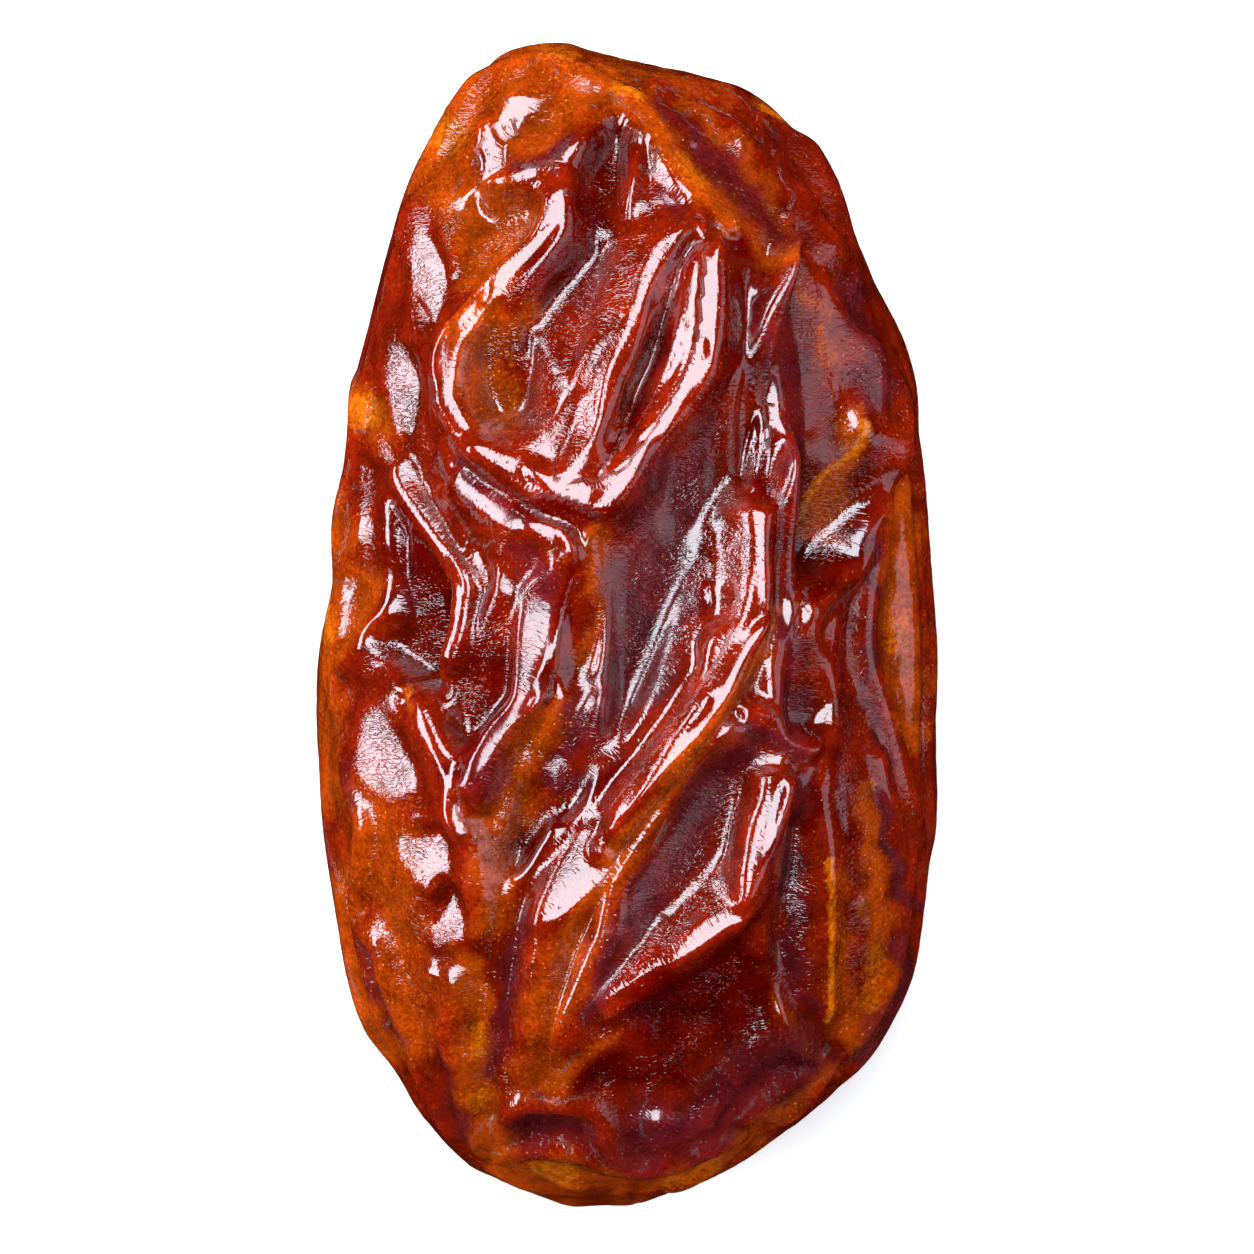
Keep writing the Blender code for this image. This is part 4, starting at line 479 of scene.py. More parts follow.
def outline_reach(x, y, table):
    """Distance from the middle to the outline in the direction of x and y."""
    knots, reach, slope = table
    angle = np.arctan2(y, x)
    at = np.clip(np.searchsorted(knots, angle, side="right") - 1, 0, len(knots) - 2)
    span = knots[at + 1] - knots[at]
    t = (angle - knots[at]) / span
    return (
        reach[at] * (1 + 2 * t) * (1 - t) ** 2
        + slope[at] * span * t * (1 - t) ** 2
        + reach[at + 1] * t * t * (3 - 2 * t)
        + slope[at + 1] * span * t * t * (t - 1)
    )


def fullness(x, y):
    """How square the section is, between its value across the fruit and its value along it."""
    along = y * y / (x * x + y * y + 1e-9)
    return FULLNESS_ACROSS + (FULLNESS_ALONG - FULLNESS_ACROSS) * along


def body_points(sphere, table):
    """Move the points of a unit sphere on to the smooth body."""
    x, y = sphere[:, 0] * HALF_WIDTH, sphere[:, 1] * HALF_LENGTH
    share = np.clip(np.hypot(sphere[:, 0], sphere[:, 1]), 0.0, 1.0)
    angle = np.arctan2(y, x)
    across, along = HALF_LENGTH * np.cos(angle), HALF_WIDTH * np.sin(angle)
    ellipse = HALF_WIDTH * HALF_LENGTH / np.hypot(across, along)
    grow = outline_reach(x, y, table) / ellipse
    power = fullness(x, y)
    rise = (1.0 - share ** power) ** (1.0 / power)
    height = np.where(sphere[:, 2] > 0, TOP_HEIGHT, -UNDER_HEIGHT)
    return np.stack([x * grow, y * grow, EQUATOR_HEIGHT + height * rise], axis=1)


def on_body(line, table):
    """Put a line seen from above on to the upper side of the smooth body."""
    seen = smooth_path(line)
    x, y = seen[:, 0], seen[:, 1]
    share = np.clip(np.hypot(x, y) / outline_reach(x, y, table), 0.0, BODY_EDGE)
    power = fullness(x, y)
    rise = (1.0 - share ** power) ** (1.0 / power)
    return np.stack([x, y, EQUATOR_HEIGHT + TOP_HEIGHT * rise], axis=1)


def smooth_path(corners, step=PATH_STEP):
    """A smooth curve through the corners, read at short steps."""
    corners = np.array(corners, dtype=float)
    before_start, after_end = 2 * corners[0] - corners[1], 2 * corners[-1] - corners[-2]
    ends = np.concatenate([[before_start], corners, [after_end]])
    path = []
    for before, here, there, after in zip(ends, ends[1:], ends[2:], ends[3:]):
        count = max(2, int(np.linalg.norm(there - here) / step))
        t = (np.arange(count) / count)[:, None]
        path.append(0.5 * (
            2 * here + (there - before) * t
            + (2 * before - 5 * here + 4 * there - after) * t * t
            + (3 * here - before - 3 * there + after) * t ** 3
        ))
    path.append(corners[-1:])
    return np.concatenate(path)


def near_path(points, path, reach):
    """Which points lie near a path, and for each its offset from the path and its place along it."""
    near = np.all((points > path.min(0) - reach) & (points < path.max(0) + reach), axis=1)
    index = np.nonzero(near)[0]
    here = points[index]
    closest = np.full(len(index), np.inf)
    place = np.zeros(len(index))
    offset = np.zeros((len(index), 3))
    heading = np.zeros((len(index), 3))
    run = 0.0
    for start, end in zip(path, path[1:]):
        length = np.linalg.norm(end - start)
        step = (end - start) / length
        from_start = here - start
        t = np.clip(from_start @ step, 0.0, length)
        gap = from_start - t[:, None] * step
        distance = np.einsum("ij,ij->i", gap, gap)
        closer = distance < closest
        closest[closer] = distance[closer]
        place[closer] = run + t[closer]
        offset[closer] = gap[closer]
        heading[closer] = step
        run += length
    return index, offset, heading, place, run


def level_lift(offset, facing):
    """Lift along the normal that makes the top of a fold level, where the body isn't steep."""
    across = 1.0 - smooth_step(LEVEL_ACROSS[0], LEVEL_ACROSS[1], np.abs(facing[:, 0]))
    along = 1.0 - smooth_step(LEVEL_ALONG[0], LEVEL_ALONG[1], np.abs(facing[:, 1]))
    return across * facing[:, 0] * offset[:, 0] + along * facing[:, 1] * offset[:, 1]


def belt_share(points, belt):
    """0 to 1 from the first to the second height of a belt round the body."""
    return smooth_step(belt[0], belt[1], points[:, 2] - EQUATOR_HEIGHT)


def ridge_heights(points, normals, path, height, left, right, fade, level=False):
    """Height that one fold gives each point, and which points it reaches."""
    rounding = TOP_ROUNDING * height + LEAST_ROUNDING
    band = TOP_BAND * height
    index, offset, heading, place, total = near_path(points, path, max(left, right) + rounding)
    facing = normals[index]
    side = np.einsum("ij,ij->i", np.cross(heading, offset), facing)
    distance = np.linalg.norm(offset, axis=1)
    rounded = np.hypot(np.maximum(distance - band, 0.0), rounding) - rounding
    lean = 0.5 + 0.5 * np.tanh(side / SIDE_BLEND)
    foot = np.hypot(right + (left - right) * lean, rounding) - rounding
    flank = np.clip(1.0 - rounded / foot, 0.0, 1.0) ** FLANK_CURVE
    start_fade = smooth_step(-FADE_START * fade[0], (1.0 - FADE_START) * fade[0] + 0.01, place)
    end_fade = smooth_step(-FADE_START * fade[1], (1.0 - FADE_START) * fade[1] + 0.01, total - place)
    raised = height * flank
    if level:
        top = np.exp(-((distance / (LEVEL_REACH * band + LEAST_ROUNDING)) ** 2))
        raised += top * level_lift(offset, facing)
    return index, raised * start_fade * end_fade


def ring_point(along, turn):
    """A point of the unit sphere by its place along the body and its turn round it, from +X under it."""
    across = np.sqrt(np.clip(1.0 - along * along, 0.0, 1.0))
    return np.stack([np.cos(turn) * across, along, -np.sin(turn) * across], axis=-1)


def long_lines(draw):
    """Wandering lines along the sides and the underside: place along the body, and turn round it."""
    lines = []
    for number in range(UNDER_FOLDS):
        share = (number + 0.5 + draw.uniform(-UNDER_JITTER, UNDER_JITTER)) / UNDER_FOLDS
        turn = -UNDER_TURN + (math.pi + 2.0 * UNDER_TURN) * share
        start, end = draw.uniform(*UNDER_ENDS), -draw.uniform(*UNDER_ENDS)
        if number % 3 == 1:
            start = draw.uniform(*UNDER_BROKEN_ENDS)
        if number % 3 == 2:
            end = -draw.uniform(*UNDER_BROKEN_ENDS)
        along = np.linspace(start, end, LONG_LINE_POINTS)
        sway = sum(
            draw.uniform(*UNDER_SWAY) * np.sin(along * draw.uniform(*UNDER_WAVES) + draw.uniform(0, 6.3))
            for _ in range(SWAYS)
        )
        lines.append((along, turn + sway))
    return lines


def branch_line(draw, lines):
    """A short line from one long line to the next."""
    number = int(draw.integers(0, UNDER_FOLDS - 1))
    first, second = lines[number], lines[number + 1]
    start = draw.uniform(*BRANCH_STARTS)
    end = start + draw.choice([-1, 1]) * draw.uniform(*BRANCH_LENGTH)
    share = np.linspace(0.0, 1.0, SHORT_LINE_POINTS)
    along = start + (end - start) * share
    from_turn = np.interp(along, first[0][::-1], first[1][::-1])
    to_turn = np.interp(along, second[0][::-1], second[1][::-1])
    return along, from_turn + (to_turn - from_turn) * smooth_step(0.0, 1.0, share)


def under_folds(table):
    """Folds of the sides, the underside and the ends: height, two flanks, fade and crest path."""
    draw = np.random.default_rng(UNDER_SEED)
    lines = long_lines(draw)
    folds = []
    for line in lines:
        spans = (UNDER_HEIGHTS, UNDER_FLANKS, UNDER_FLANKS)
        height, left, right = (draw.uniform(*span) for span in spans)
        folds.append((height, left, right, UNDER_FADE, line))
    for _ in range(BRANCHES):
        height = draw.uniform(*BRANCH_HEIGHTS)
        folds.append((height, BRANCH_FLANK, BRANCH_FLANK, UNDER_FADE, branch_line(draw, lines)))
    for end in (-1.0, 1.0):
        for number in range(GATHERS):
            turn = 2.0 * math.pi * (number + draw.uniform(-GATHER_JITTER, GATHER_JITTER)) / GATHERS
            share = np.linspace(0.0, 1.0, SHORT_LINE_POINTS)
            tip, foot = draw.uniform(*GATHER_TIPS), draw.uniform(*GATHER_FEET)
            sway = draw.uniform(-GATHER_SWAY, GATHER_SWAY) * share * share
            height = draw.uniform(*GATHER_HEIGHTS)
            line = (end * (tip + (foot - tip) * share), turn + sway)
            folds.append((height, GATHER_FLANK, GATHER_FLANK, GATHER_FADE, line))
    return [
        (height, left, right, (fade, fade),
         smooth_path(body_points(ring_point(*line), table), UNDER_STEP))
        for height, left, right, fade, line in folds
    ]


def offset_from(points, along, turn, table):
    """Each point's offset from the place of the body at one distance along it and one turn round it."""
    return points - body_points(ring_point(np.array([along]), np.array([turn])), table)[0]


def under_dips(points, table):
    """Seeded dips and swells between the folds of the sides and the underside."""
    draw = np.random.default_rng(UNDER_SEED + 1)
    total = np.zeros(len(points))
    for _ in range(DIPS):
        along = draw.uniform(-DIP_PLACES, DIP_PLACES)
        turn = draw.uniform(-UNDER_TURN, math.pi + UNDER_TURN)
        offset = offset_from(points, along, turn, table)
        stretch = draw.uniform(*DIP_STRETCH)
        far = (offset[:, 1] / stretch) ** 2 + (offset[:, 0] ** 2 + offset[:, 2] ** 2)
        total += draw.uniform(*DIP_DEPTHS) * np.exp(-far / draw.uniform(*DIP_SIZES) ** 2)
    return total


def rest_distance(points):
    """Distance from the middle of the spot that it rests on: 1 at its edge, seen from above."""
    return np.hypot(points[:, 0] / REST_HALF_WIDTH, points[:, 1] / REST_HALF_LENGTH)


def rest_share(points):
    """1 over the spot that it rests on, 0 well outside it."""
    share = 1.0 - smooth_step(1.0, REST_SOFTNESS, rest_distance(points))
    return np.where(points[:, 2] < EQUATOR_HEIGHT, share, 0.0)


def soft_patches(points, patches):
    """Sum of round-edged patches on the upper side."""
    total = np.zeros(len(points))
    for x, y, half_length, half_width, turn, depth in patches.values():
        angle = math.radians(turn)
        dx, dy = points[:, 0] - x, points[:, 1] - y
        along = -dx * math.sin(angle) + dy * math.cos(angle)
        across = dx * math.cos(angle) + dy * math.sin(angle)
        far = (along / half_length) ** 2 + (across / half_width) ** 2
        total += depth * np.exp(-far)
    return total * belt_share(points, PATCH_BELT)


def crest_distance(points, reach):
    """Distance seen from above to the nearest crest of a taut fold, up to the given reach."""
    seen = points * (1.0, 1.0, 0.0)
    nearest = np.full(len(points), reach)
    for name in LEVEL_FOLDS:
        line = smooth_path(FOLDS[name][-1])
        path = np.column_stack([line, np.zeros(len(line))])
        index, offset = near_path(seen, path, reach)[:2]
        nearest[index] = np.minimum(nearest[index], np.linalg.norm(offset, axis=1))
    return nearest


def facet_share(points, facet):
    """1 on a facet and 0 off it, and the height of its plane over its middle."""
    x, y, half_length, half_width, turn, slope_x, slope_y = facet[:-1]
    angle = math.radians(turn)
    dx, dy = points[:, 0] - x, points[:, 1] - y
    along = (-dx * math.sin(angle) + dy * math.cos(angle)) / half_length
    across = (dx * math.cos(angle) + dy * math.sin(angle)) / half_width
    corners = 1.0 + FACET_CORNERS * np.sin(3.0 * np.arctan2(across, along) + x + y)
    far = (along ** 2 + across ** 2) * corners
    share = np.exp(-(far ** FACET_EDGE)) * belt_share(points, FACET_BELT)
    return share, slope_x * dx + slope_y * dy


def flatten_facets(points, normals, raised):
    """Bring the facets of the upper side towards their planes, but not the taut crests beside them."""
    clear = smooth_step(CREST_CLEAR[0], CREST_CLEAR[1], crest_distance(points, CREST_CLEAR[1]))
    for facet in FACETS.values():
        slope_x, slope_y, flat = facet[-3:]
        share, plane = facet_share(points, facet)
        rate = normals[:, 2] - slope_x * normals[:, 0] - slope_y * normals[:, 1]
        above = points[:, 2] - plane + rate * raised
        on_crest = facet[3] <= CREST_FACET
        share = share if on_crest else share * clear
        level = np.sum(share * above) / np.sum(share)
        uneven = np.sqrt(np.sum(share * (above - level) ** 2) / np.sum(share))
        level += uneven * (FACET_RISE if on_crest else -FACET_SINK)
        raised += flat * share * (level - above) / np.maximum(rate, LEAST_RATE)


def lumps(points):
    """Gentle unevenness of the whole body."""
    return sum(
        height * np.sin(points @ np.array([wave_x, wave_y, wave_z]) + shift)
        for height, wave_x, wave_y, wave_z, shift in LUMPS
    )


def relief(points, normals, table):
    """How far each point of the smooth body moves out along its normal, in millimetres."""
    raised = np.zeros(len(points))
    upper = belt_share(points, UPPER_BELT)
    for name, (height, left, right, fade, crest) in FOLDS.items():
        path = on_body(crest, table)
        level = name in LEVEL_FOLDS
        index, gain = ridge_heights(points, normals, path, height, left, right, fade, level)
        raised[index] = smooth_max(raised[index], gain * upper[index])
    under = belt_share(points, UNDER_BELT)
    for height, left, right, fade, path in under_folds(table):
        index, gain = ridge_heights(points, normals, path, height, left, right, fade)
        raised[index] = smooth_max(raised[index], gain * under[index])
    raised += under_dips(points, table) * under
    for depth, left, right, fade, line in CREASES.values():
        path = on_body(line, table)
        index, cut = ridge_heights(points, normals, path, depth, left, right, fade)
        raised[index] -= cut * upper[index]
    raised += soft_patches(points, SWELLS) - soft_patches(points, HOLLOWS) + lumps(points)
    flatten_facets(points, normals, raised)
    rim = 1.0 - (1.0 - RIM_RELIEF) * np.exp(-((points[:, 2] - EQUATOR_HEIGHT) / RIM_BELT) ** 2)
    raised = (raised - SKIN_DROP) * rim
    return raised * (1.0 - rest_share(points)) + stem_scar(points)


def stem_scar(points):
    """A small round pit with a raised rim, where the stem was."""
    distance = np.linalg.norm(points - np.array(SCAR_PLACE), axis=1) / SCAR_RADIUS
    pit = -SCAR_DEPTH * np.exp(-((distance / SCAR_PIT_SHARE) ** 2))
    rim = SCAR_RIM * np.exp(-(((distance - 1.0) / SCAR_RIM_SHARE) ** 2))
    return pit + rim


def settle(points):
    """Rest the fruit on z = 0, with its middle over the origin and its driving width and length."""
    points[:, 2] = np.maximum(points[:, 2], 0.0)
    low, high = points.min(0), points.max(0)
    points[:, :2] -= (low + high)[:2] / 2.0
    points[:, :2] *= 2.0 * np.array([HALF_WIDTH, HALF_LENGTH]) / (high - low)[:2]


# Colour zones of the upper side: half width in millimetres, strength, and the line that a zone follows
AMBER = {
    "upper shoulder": (1.5, 0.75, [(-7.6, 20.0), (-5.5, 21.8), (-3, 22.3), (-1.2, 21.3)]),
    "beside the hook": (1.1, 0.75, [(-4.8, 19.2), (-3.2, 20.0), (-1.9, 20.6)]),
    "left upper side": (1.0, 0.7, [(-8.9, 17.8), (-8.2, 19.3), (-7.2, 20.6)]),
    "left dish": (1.3, 0.9, [(-5.6, 16.4), (-4.8, 15.6), (-6.0, 14.2), (-7.0, 17.4)]),
    "cup floor": (0.9, 0.95, [(-5.7, 11.6), (-5.9, 10.2), (-5.6, 8.6)]),
    "cup floor top": (0.5, 0.7, [(-4.9, 12.4), (-4.0, 12.6)]),
    "left corner": (0.8, 0.9, [(-10.9, 9.3), (-10.6, 8.0)]),
    "left edge": (0.6, 0.8, [(-11.9, 6.0), (-11.8, 3.0), (-12.1, 0.0), (-12.2, -3.0), (-12.2, -7)]),
    "left lobe": (0.8, 0.75, [(-10.9, 1.6), (-11.0, 0.3), (-11.7, -0.8)]),
    "knot pit": (0.35, 1.0, [(-9.1, -2.9), (-9.0, -3.2)]),
    "lower left side": (1.5, 0.7, [(-10.6, -7.6), (-9.8, -10.5), (-9.4, -13.5), (-9.0, -16.5)]),
    "lower left edge": (0.6, 0.8, [(-11.9, -10.0), (-11.3, -14.5), (-10.0, -17.4)]),
    "lower left channel": (0.65, 1.0, [(-6.6, -13.6), (-6.4, -16.5), (-6.4, -19), (-5.8, -21.2)]),
    "middle left channel": (0.9, 0.75, [(-3.2, -3.6), (-4.2, -5.6), (-5.2, -8.5), (-5.4, -11.5)]),
    "rib valley": (0.4, 0.7, [(-1.2, 3.4), (-1.4, 0.0), (-1.7, -2.0)]),
    "middle band": (0.42, 0.95, [
        (5.9, 0.5), (5.2, -1.3), (4.2, -2.7), (3.1, -4.2), (2.1, -5.5), (1.2, -7.0), (0.2, -8.4),
        (-0.8, -9.9), (-1.8, -11.6), (-2.5, -13.2)]),
    "middle foot": (1.0, 0.7, [(-2.8, -13.5), (-3.3, -16.0), (-3.9, -18.6)]),
    "spine": (0.6, 0.9, [(-0.4, 21.2), (1.0, 20.0), (1.9, 18.3), (2.9, 17.4), (3.9, 16.0)]),
    "spine foot": (0.8, 0.6, [(3.4, 17.0), (4.8, 15.6), (6.2, 14.4)]),
    "upper right rim": (0.35, 0.9, [(5.4, 20.9), (6.3, 20.2)]),
    "upper right streaks": (0.35, 0.6, [(2.2, 21.0), (4.0, 19.6), (5.4, 17.8), (6.6, 15.8)]),
    "upper end right": (0.5, 0.5, [(-1.0, 22.3), (1.5, 21.9), (4.0, 21.2)]),
    "facet line": (0.35, 0.8, [(6.0, 14.4), (7.3, 13.4), (7.9, 12.0), (8.0, 10.6)]),
    "right eye": (0.55, 0.9, [(9.6, 8.4), (9.4, 7.0), (8.9, 5.8), (8.2, 4.6), (8.0, 3.6)]),
    "right eye floor": (0.6, 0.6, [(8.9, 5.2), (8.7, 3.6)]),
    "right panel": (0.65, 0.95, [(10.9, 5.0), (11.0, 2.0), (11.2, -1.0), (11.7, -4.6)]),
    "right lower band": (0.5, 0.95, [
        (9.9, -6.8), (10.0, -9.5), (10.4, -12.4), (10.1, -14.8), (9.3, -16.9)]),
    "right strip": (0.45, 0.6, [(8.8, -10.0), (8.9, -13.0), (8.8, -16.5)]),
    "lower arc": (0.4, 0.8, [(-3.3, -18.6), (-2.0, -17.5), (-0.6, -16.7)]),
    "lower end": (0.8, 1.0, [(-5.0, -22.3), (-3.0, -22.6), (-0.5, -22.7)]),
    "lower end right": (0.55, 0.9, [(1.0, -22.7), (3.2, -21.8), (5.2, -21.0)]),
    "lower right fold": (0.35, 0.8, [(5.2, -20.4), (7.0, -19.1), (8.5, -18.4)]),
    "pinch lip": (0.3, 0.8, [(5.8, -14.4), (6.7, -16.4), (7.8, -17.8)]),
    "hollow lip": (0.3, 0.5, [(4.4, -4.2), (2.4, -6.8), (0.6, -9.0), (-0.9, -11.6), (-2.0, -14.6)]),
    "lower end corner": (0.6, 0.6, [(-5.4, -20.4), (-5.6, -21.6)]),
}

GOLD = {
    "shoulder flecks": (0.5, 0.5, [(-7.6, 19.4), (-7.3, 19.9)]),
    "top flecks": (0.5, 0.5, [(-3.4, 22.9), (-2.4, 22.6)]),
    "spine top": (0.4, 0.8, [(-0.4, 21.3), (0.4, 21.0)]),
    "spine bright": (0.5, 0.5, [(2.2, 18.4), (2.8, 17.6)]),
    "cup edge flecks": (0.2, 0.2, [(-5.0, 10.8), (-4.9, 9.6), (-5.2, 8.2)]),
    "cup top flecks": (0.2, 0.2, [(-4.0, 12.3), (-4.9, 10.6)]),
    "left corner": (0.4, 0.7, [(-10.8, 8.8), (-10.7, 8.2)]),
    "left edge": (0.3, 0.7, [(-11.9, 5.0), (-12.0, 0.4), (-12.0, -0.6)]),
    "knot": (0.2, 0.9, [(-9.1, -2.9), (-9.0, -3.2)]),
    "lower channel": (0.25, 0.6, [(-6.4, -16.4), (-6.5, -17.4)]),
    "lower channel foot": (0.25, 0.7, [(-6.4, -19.2), (-6.3, -19.6)]),
    "gold line": (0.13, 0.9, [(8.15, -9.4), (8.3, -11.0), (8.36, -13.0), (8.38, -16.2)]),
    "gold spread": (0.4, 0.2, [(8.7, -12.0), (8.8, -15.6)]),
    "right band": (0.3, 0.4, [(10.3, -13.0), (9.9, -15.4)]),
    "right panel": (0.3, 0.4, [(11.2, 0.2), (11.3, -1.0)]),
    "right eye": (0.18, 0.8, [(9.5, 8.0), (9.4, 6.9), (8.3, 5.6), (7.9, 4.2)]),
    "rim fleck": (0.25, 0.7, [(5.5, 20.8), (6.2, 20.3)]),
    "lower end": (0.4, 0.8, [(-3.8, -22.3), (-2.4, -22.6)]),
    "lower end right": (0.3, 0.5, [(1.6, -22.6), (3.6, -21.8)]),
}

# Deep red zones: the skin's deep red, laid along the troughs, creases and hollows, where it also paints
# their shade
DARK_AND_SHADE = {
    "upper trough": (1.0, 0.9, [(-0.8, 19.6), (-1.2, 17.8), (-1.6, 16.0), (-2.4, 14.0)]),
    "trough foot": (0.6, 0.6, [(-3.6, 14.2), (-4.6, 12.9)]),
    "cup floor": (0.7, 0.6, [(-3.7, 11.2), (-2.8, 10.4)]),
    "cup valley": (0.35, 0.95, [
        (2.5, 14.6), (1.7, 13.0), (1.3, 11.4), (0.8, 9.8), (0.2, 8.6), (-0.6, 7.0)]),
    "right of the cup": (0.75, 0.95, [(4.1, 14.6), (4.3, 12.0), (4.0, 10.0), (3.4, 8.7)]),
    "long right crease": (0.6, 0.8, [(4.9, 11.0), (5.4, 8.6), (5.6, 6.4), (5.9, 4.0), (6.0, 1.0)]),
    "below the cup": (0.5, 0.8, [(-5.6, 5.6), (-4.0, 4.8), (-2.4, 4.4), (-0.9, 4.0), (0.6, 4.6)]),
    "left pocket": (1.1, 0.75, [(-9.2, 4.2), (-9.0, 2.4), (-8.6, 0.6), (-8.8, -1.2)]),
    "left strip": (0.4, 0.5, [(-8.3, 11.0), (-7.9, 8.6), (-7.7, 6.4), (-6.6, 4.3)]),
    "left plate floor": (1.1, 0.8, [(-5.8, 0.8), (-6.0, -1.6), (-5.9, -4.0), (-6.3, -5.6)]),
    "plate crease": (0.25, 0.9, [(-2.3, 2.3), (-2.6, 0.6), (-3.0, -1.4), (-3.4, -2.9)]),
    "middle low": (0.7, 0.9, [(-0.8, -6.0), (-2.2, -7.6), (-3.8, -8.8)]),
    "hollow crack": (0.16, 0.95, [
        (2.1, 6.5), (1.9, 4.6), (1.6, 2.6), (0.9, 0.4), (0.2, -1.4), (-0.6, -3.4)]),
    "second crack": (0.14, 0.7, [(3.2, 3.0), (2.4, 0.6), (1.4, -1.4), (0.2, -3.6)]),
    "middle wall": (0.5, 0.6, [(3.6, 4.0), (3.4, 2.4), (2.8, 0.8)]),
    "beside the lip": (0.3, 0.9, [(5.9, -6.4), (5.8, -8.4), (5.5, -10.6), (5.0, -12.4)]),
    "lower hollow": (1.8, 0.95, [(1.2, -15.2), (2.8, -15.2), (4.6, -14.2), (4.4, -16.0)]),
    "oval hollow": (0.9, 0.95, [(-1.6, -18.3), (0.2, -18.2), (1.8, -17.8)]),
    "right band": (0.55, 0.95, [(9.3, 2.9), (8.2, 2.3), (7.2, 1.3)]),
    "fold core": (0.4, 0.7, [(6.9, -0.4), (7.0, -1.6)]),
    "right strip": (0.3, 0.8, [(7.7, -3.4), (7.5, -5.4), (7.5, -8.0)]),
    "right panel side": (0.5, 0.6, [(9.0, 1.4), (8.9, -1.6), (8.7, -5.0), (8.7, -8.6)]),
    "upper right": (0.8, 0.4, [(6.0, 19.4), (6.8, 17.4), (7.2, 15.6)]),
    "rim side": (0.5, 0.6, [(8.9, 14.2), (10.0, 12.0), (10.5, 9.6)]),
    "eye wall": (0.4, 0.8, [(9.9, 8.6), (9.8, 6.6), (9.4, 4.0)]),
    "lower end streak": (0.3, 0.7, [(1.8, -20.8), (3.4, -19.4), (5.6, -18.7)]),
}

# Plum zones: the skin's dull plum, which also paints the lavender sheen of a dim reflection
PLUM_AND_SHEEN = {
    "limb facet": (0.35, 0.9, [(-4.6, 18.1), (-3.4, 18.4), (-2.6, 18.7)]),
    "middle trough": (0.45, 0.5, [(-1.3, 16.4), (-1.4, 14.4), (-1.9, 12.8)]),
    "upper right": (0.9, 0.55, [(3.6, 18.6), (5.0, 17.0), (6.4, 15.4)]),
    "spine rib": (0.4, 0.6, [(1.2, 20.6), (2.4, 19.8), (3.0, 19.0)]),
    "arch": (0.5, 0.6, [(0.7, 17.2), (1.8, 16.9)]),
    "right middle": (0.9, 0.75, [(6.2, 12.8), (6.8, 10.8), (7.4, 8.6)]),
    "right outer": (0.7, 0.85, [(9.0, 13.0), (9.6, 11.0), (9.8, 9.2)]),
    "right lip": (0.2, 0.8, [(4.9, 13.4), (5.6, 11.0), (6.2, 8.8), (6.5, 6.6), (6.6, 4.0), (6.6, 1.4)]),
    "lip side": (0.4, 0.9, [(7.0, 7.4), (7.2, 5.4), (7.2, 3.4)]),
    "central hollow": (1.1, 0.85, [(1.3, 5.8), (0.9, 3.6), (0.4, 1.2), (-0.4, -1.4), (-0.9, -4.0)]),
    "central hollow right": (0.8, 0.85, [(3.1, 7.6), (2.8, 5.6), (2.4, 3.0), (1.8, 0.2), (0.8, -2.6)]),
    "lower triangle": (0.5, 0.85, [(-2.4, -3.6), (-2.5, -5.0), (-2.9, -6.4), (-1.8, -6.2)]),
    "pocket haze": (0.35, 0.5, [(-9.4, 2.8), (-9.3, 1.0)]),
    "plate silver": (0.8, 0.5, [(-3.9, 2.0), (-3.9, -1.0), (-4.8, -3.8), (-6.0, -6.4)]),
    "left plate": (0.6, 0.7, [(-4.6, 2.7), (-3.6, 2.4), (-3.2, 0.6)]),
    "plum hollow": (1.0, 0.95, [(4.4, -5.4), (3.0, -7.0), (2.0, -9.2), (0.8, -10.6), (0.2, -12.2)]),
    "plum hollow foot": (0.4, 0.95, [(-0.4, -12.8), (-1.4, -14.6), (-1.7, -15.6)]),
    "hollow arch": (0.45, 0.85, [(4.4, -4.2), (5.4, -4.2), (6.8, -4.9)]),
    "right fold": (0.6, 0.85, [(6.4, -0.2), (6.5, -2.4), (7.2, -3.8)]),
    "right fold foot": (0.5, 0.85, [(7.0, -6.0), (6.8, -8.4), (7.2, -10.6), (6.9, -13.0), (7.6, -15.4)]),
    "side line": (0.22, 0.9, [
        (9.7, 4.0), (10.2, 1.4), (9.9, -1.6), (10.4, -5.4), (10.6, -9.0), (11.3, -11.6)]),
    "lower right rim": (0.35, 0.8, [(11.2, -12.6), (10.8, -15.0), (9.4, -17.4)]),
    "left strip": (0.3, 0.7, [(-11.2, -5.6), (-11.0, -8.4)]),
    "lower left strip": (0.35, 0.8, [(-10.6, -12.8), (-10.2, -14.8), (-9.4, -16.8)]),
    "lower left fold": (0.5, 0.7, [(-7.8, -16.8), (-7.6, -18.8), (-6.8, -21.0)]),
    "bottom channel": (0.45, 0.85, [(-4.4, -11.8), (-5.0, -14.4), (-5.5, -16.4), (-5.8, -18.2)]),
    "lower end": (1.5, 0.85, [(0.6, -20.8), (3.0, -20.2), (5.4, -18.4), (7.0, -17.6)]),
    "plate edge": (0.35, 0.8, [(-6.6, 6.0), (-5.4, 4.9), (-3.9, 4.1)]),
    "lozenge": (0.8, 0.85, [(-4.4, -20.7), (-2.0, -20.7)]),
    "lower hollow haze": (0.6, 0.5, [(0.2, -15.4), (1.2, -16.2)]),
}

# The zones of each colour, in the order of their patches' seeds. Those of the steady colour keep to their
# lines, and the edges of the others wander by up to twice this many millimetres
ZONES = {"amber": AMBER, "dark_and_shade": DARK_AND_SHADE, "plum_and_sheen": PLUM_AND_SHEEN, "gold": GOLD}
STEADY = "gold"
WANDER = 0.16
ZONE_EDGE = 1.3
ZONE_BELT = (-4.0, -1.0)

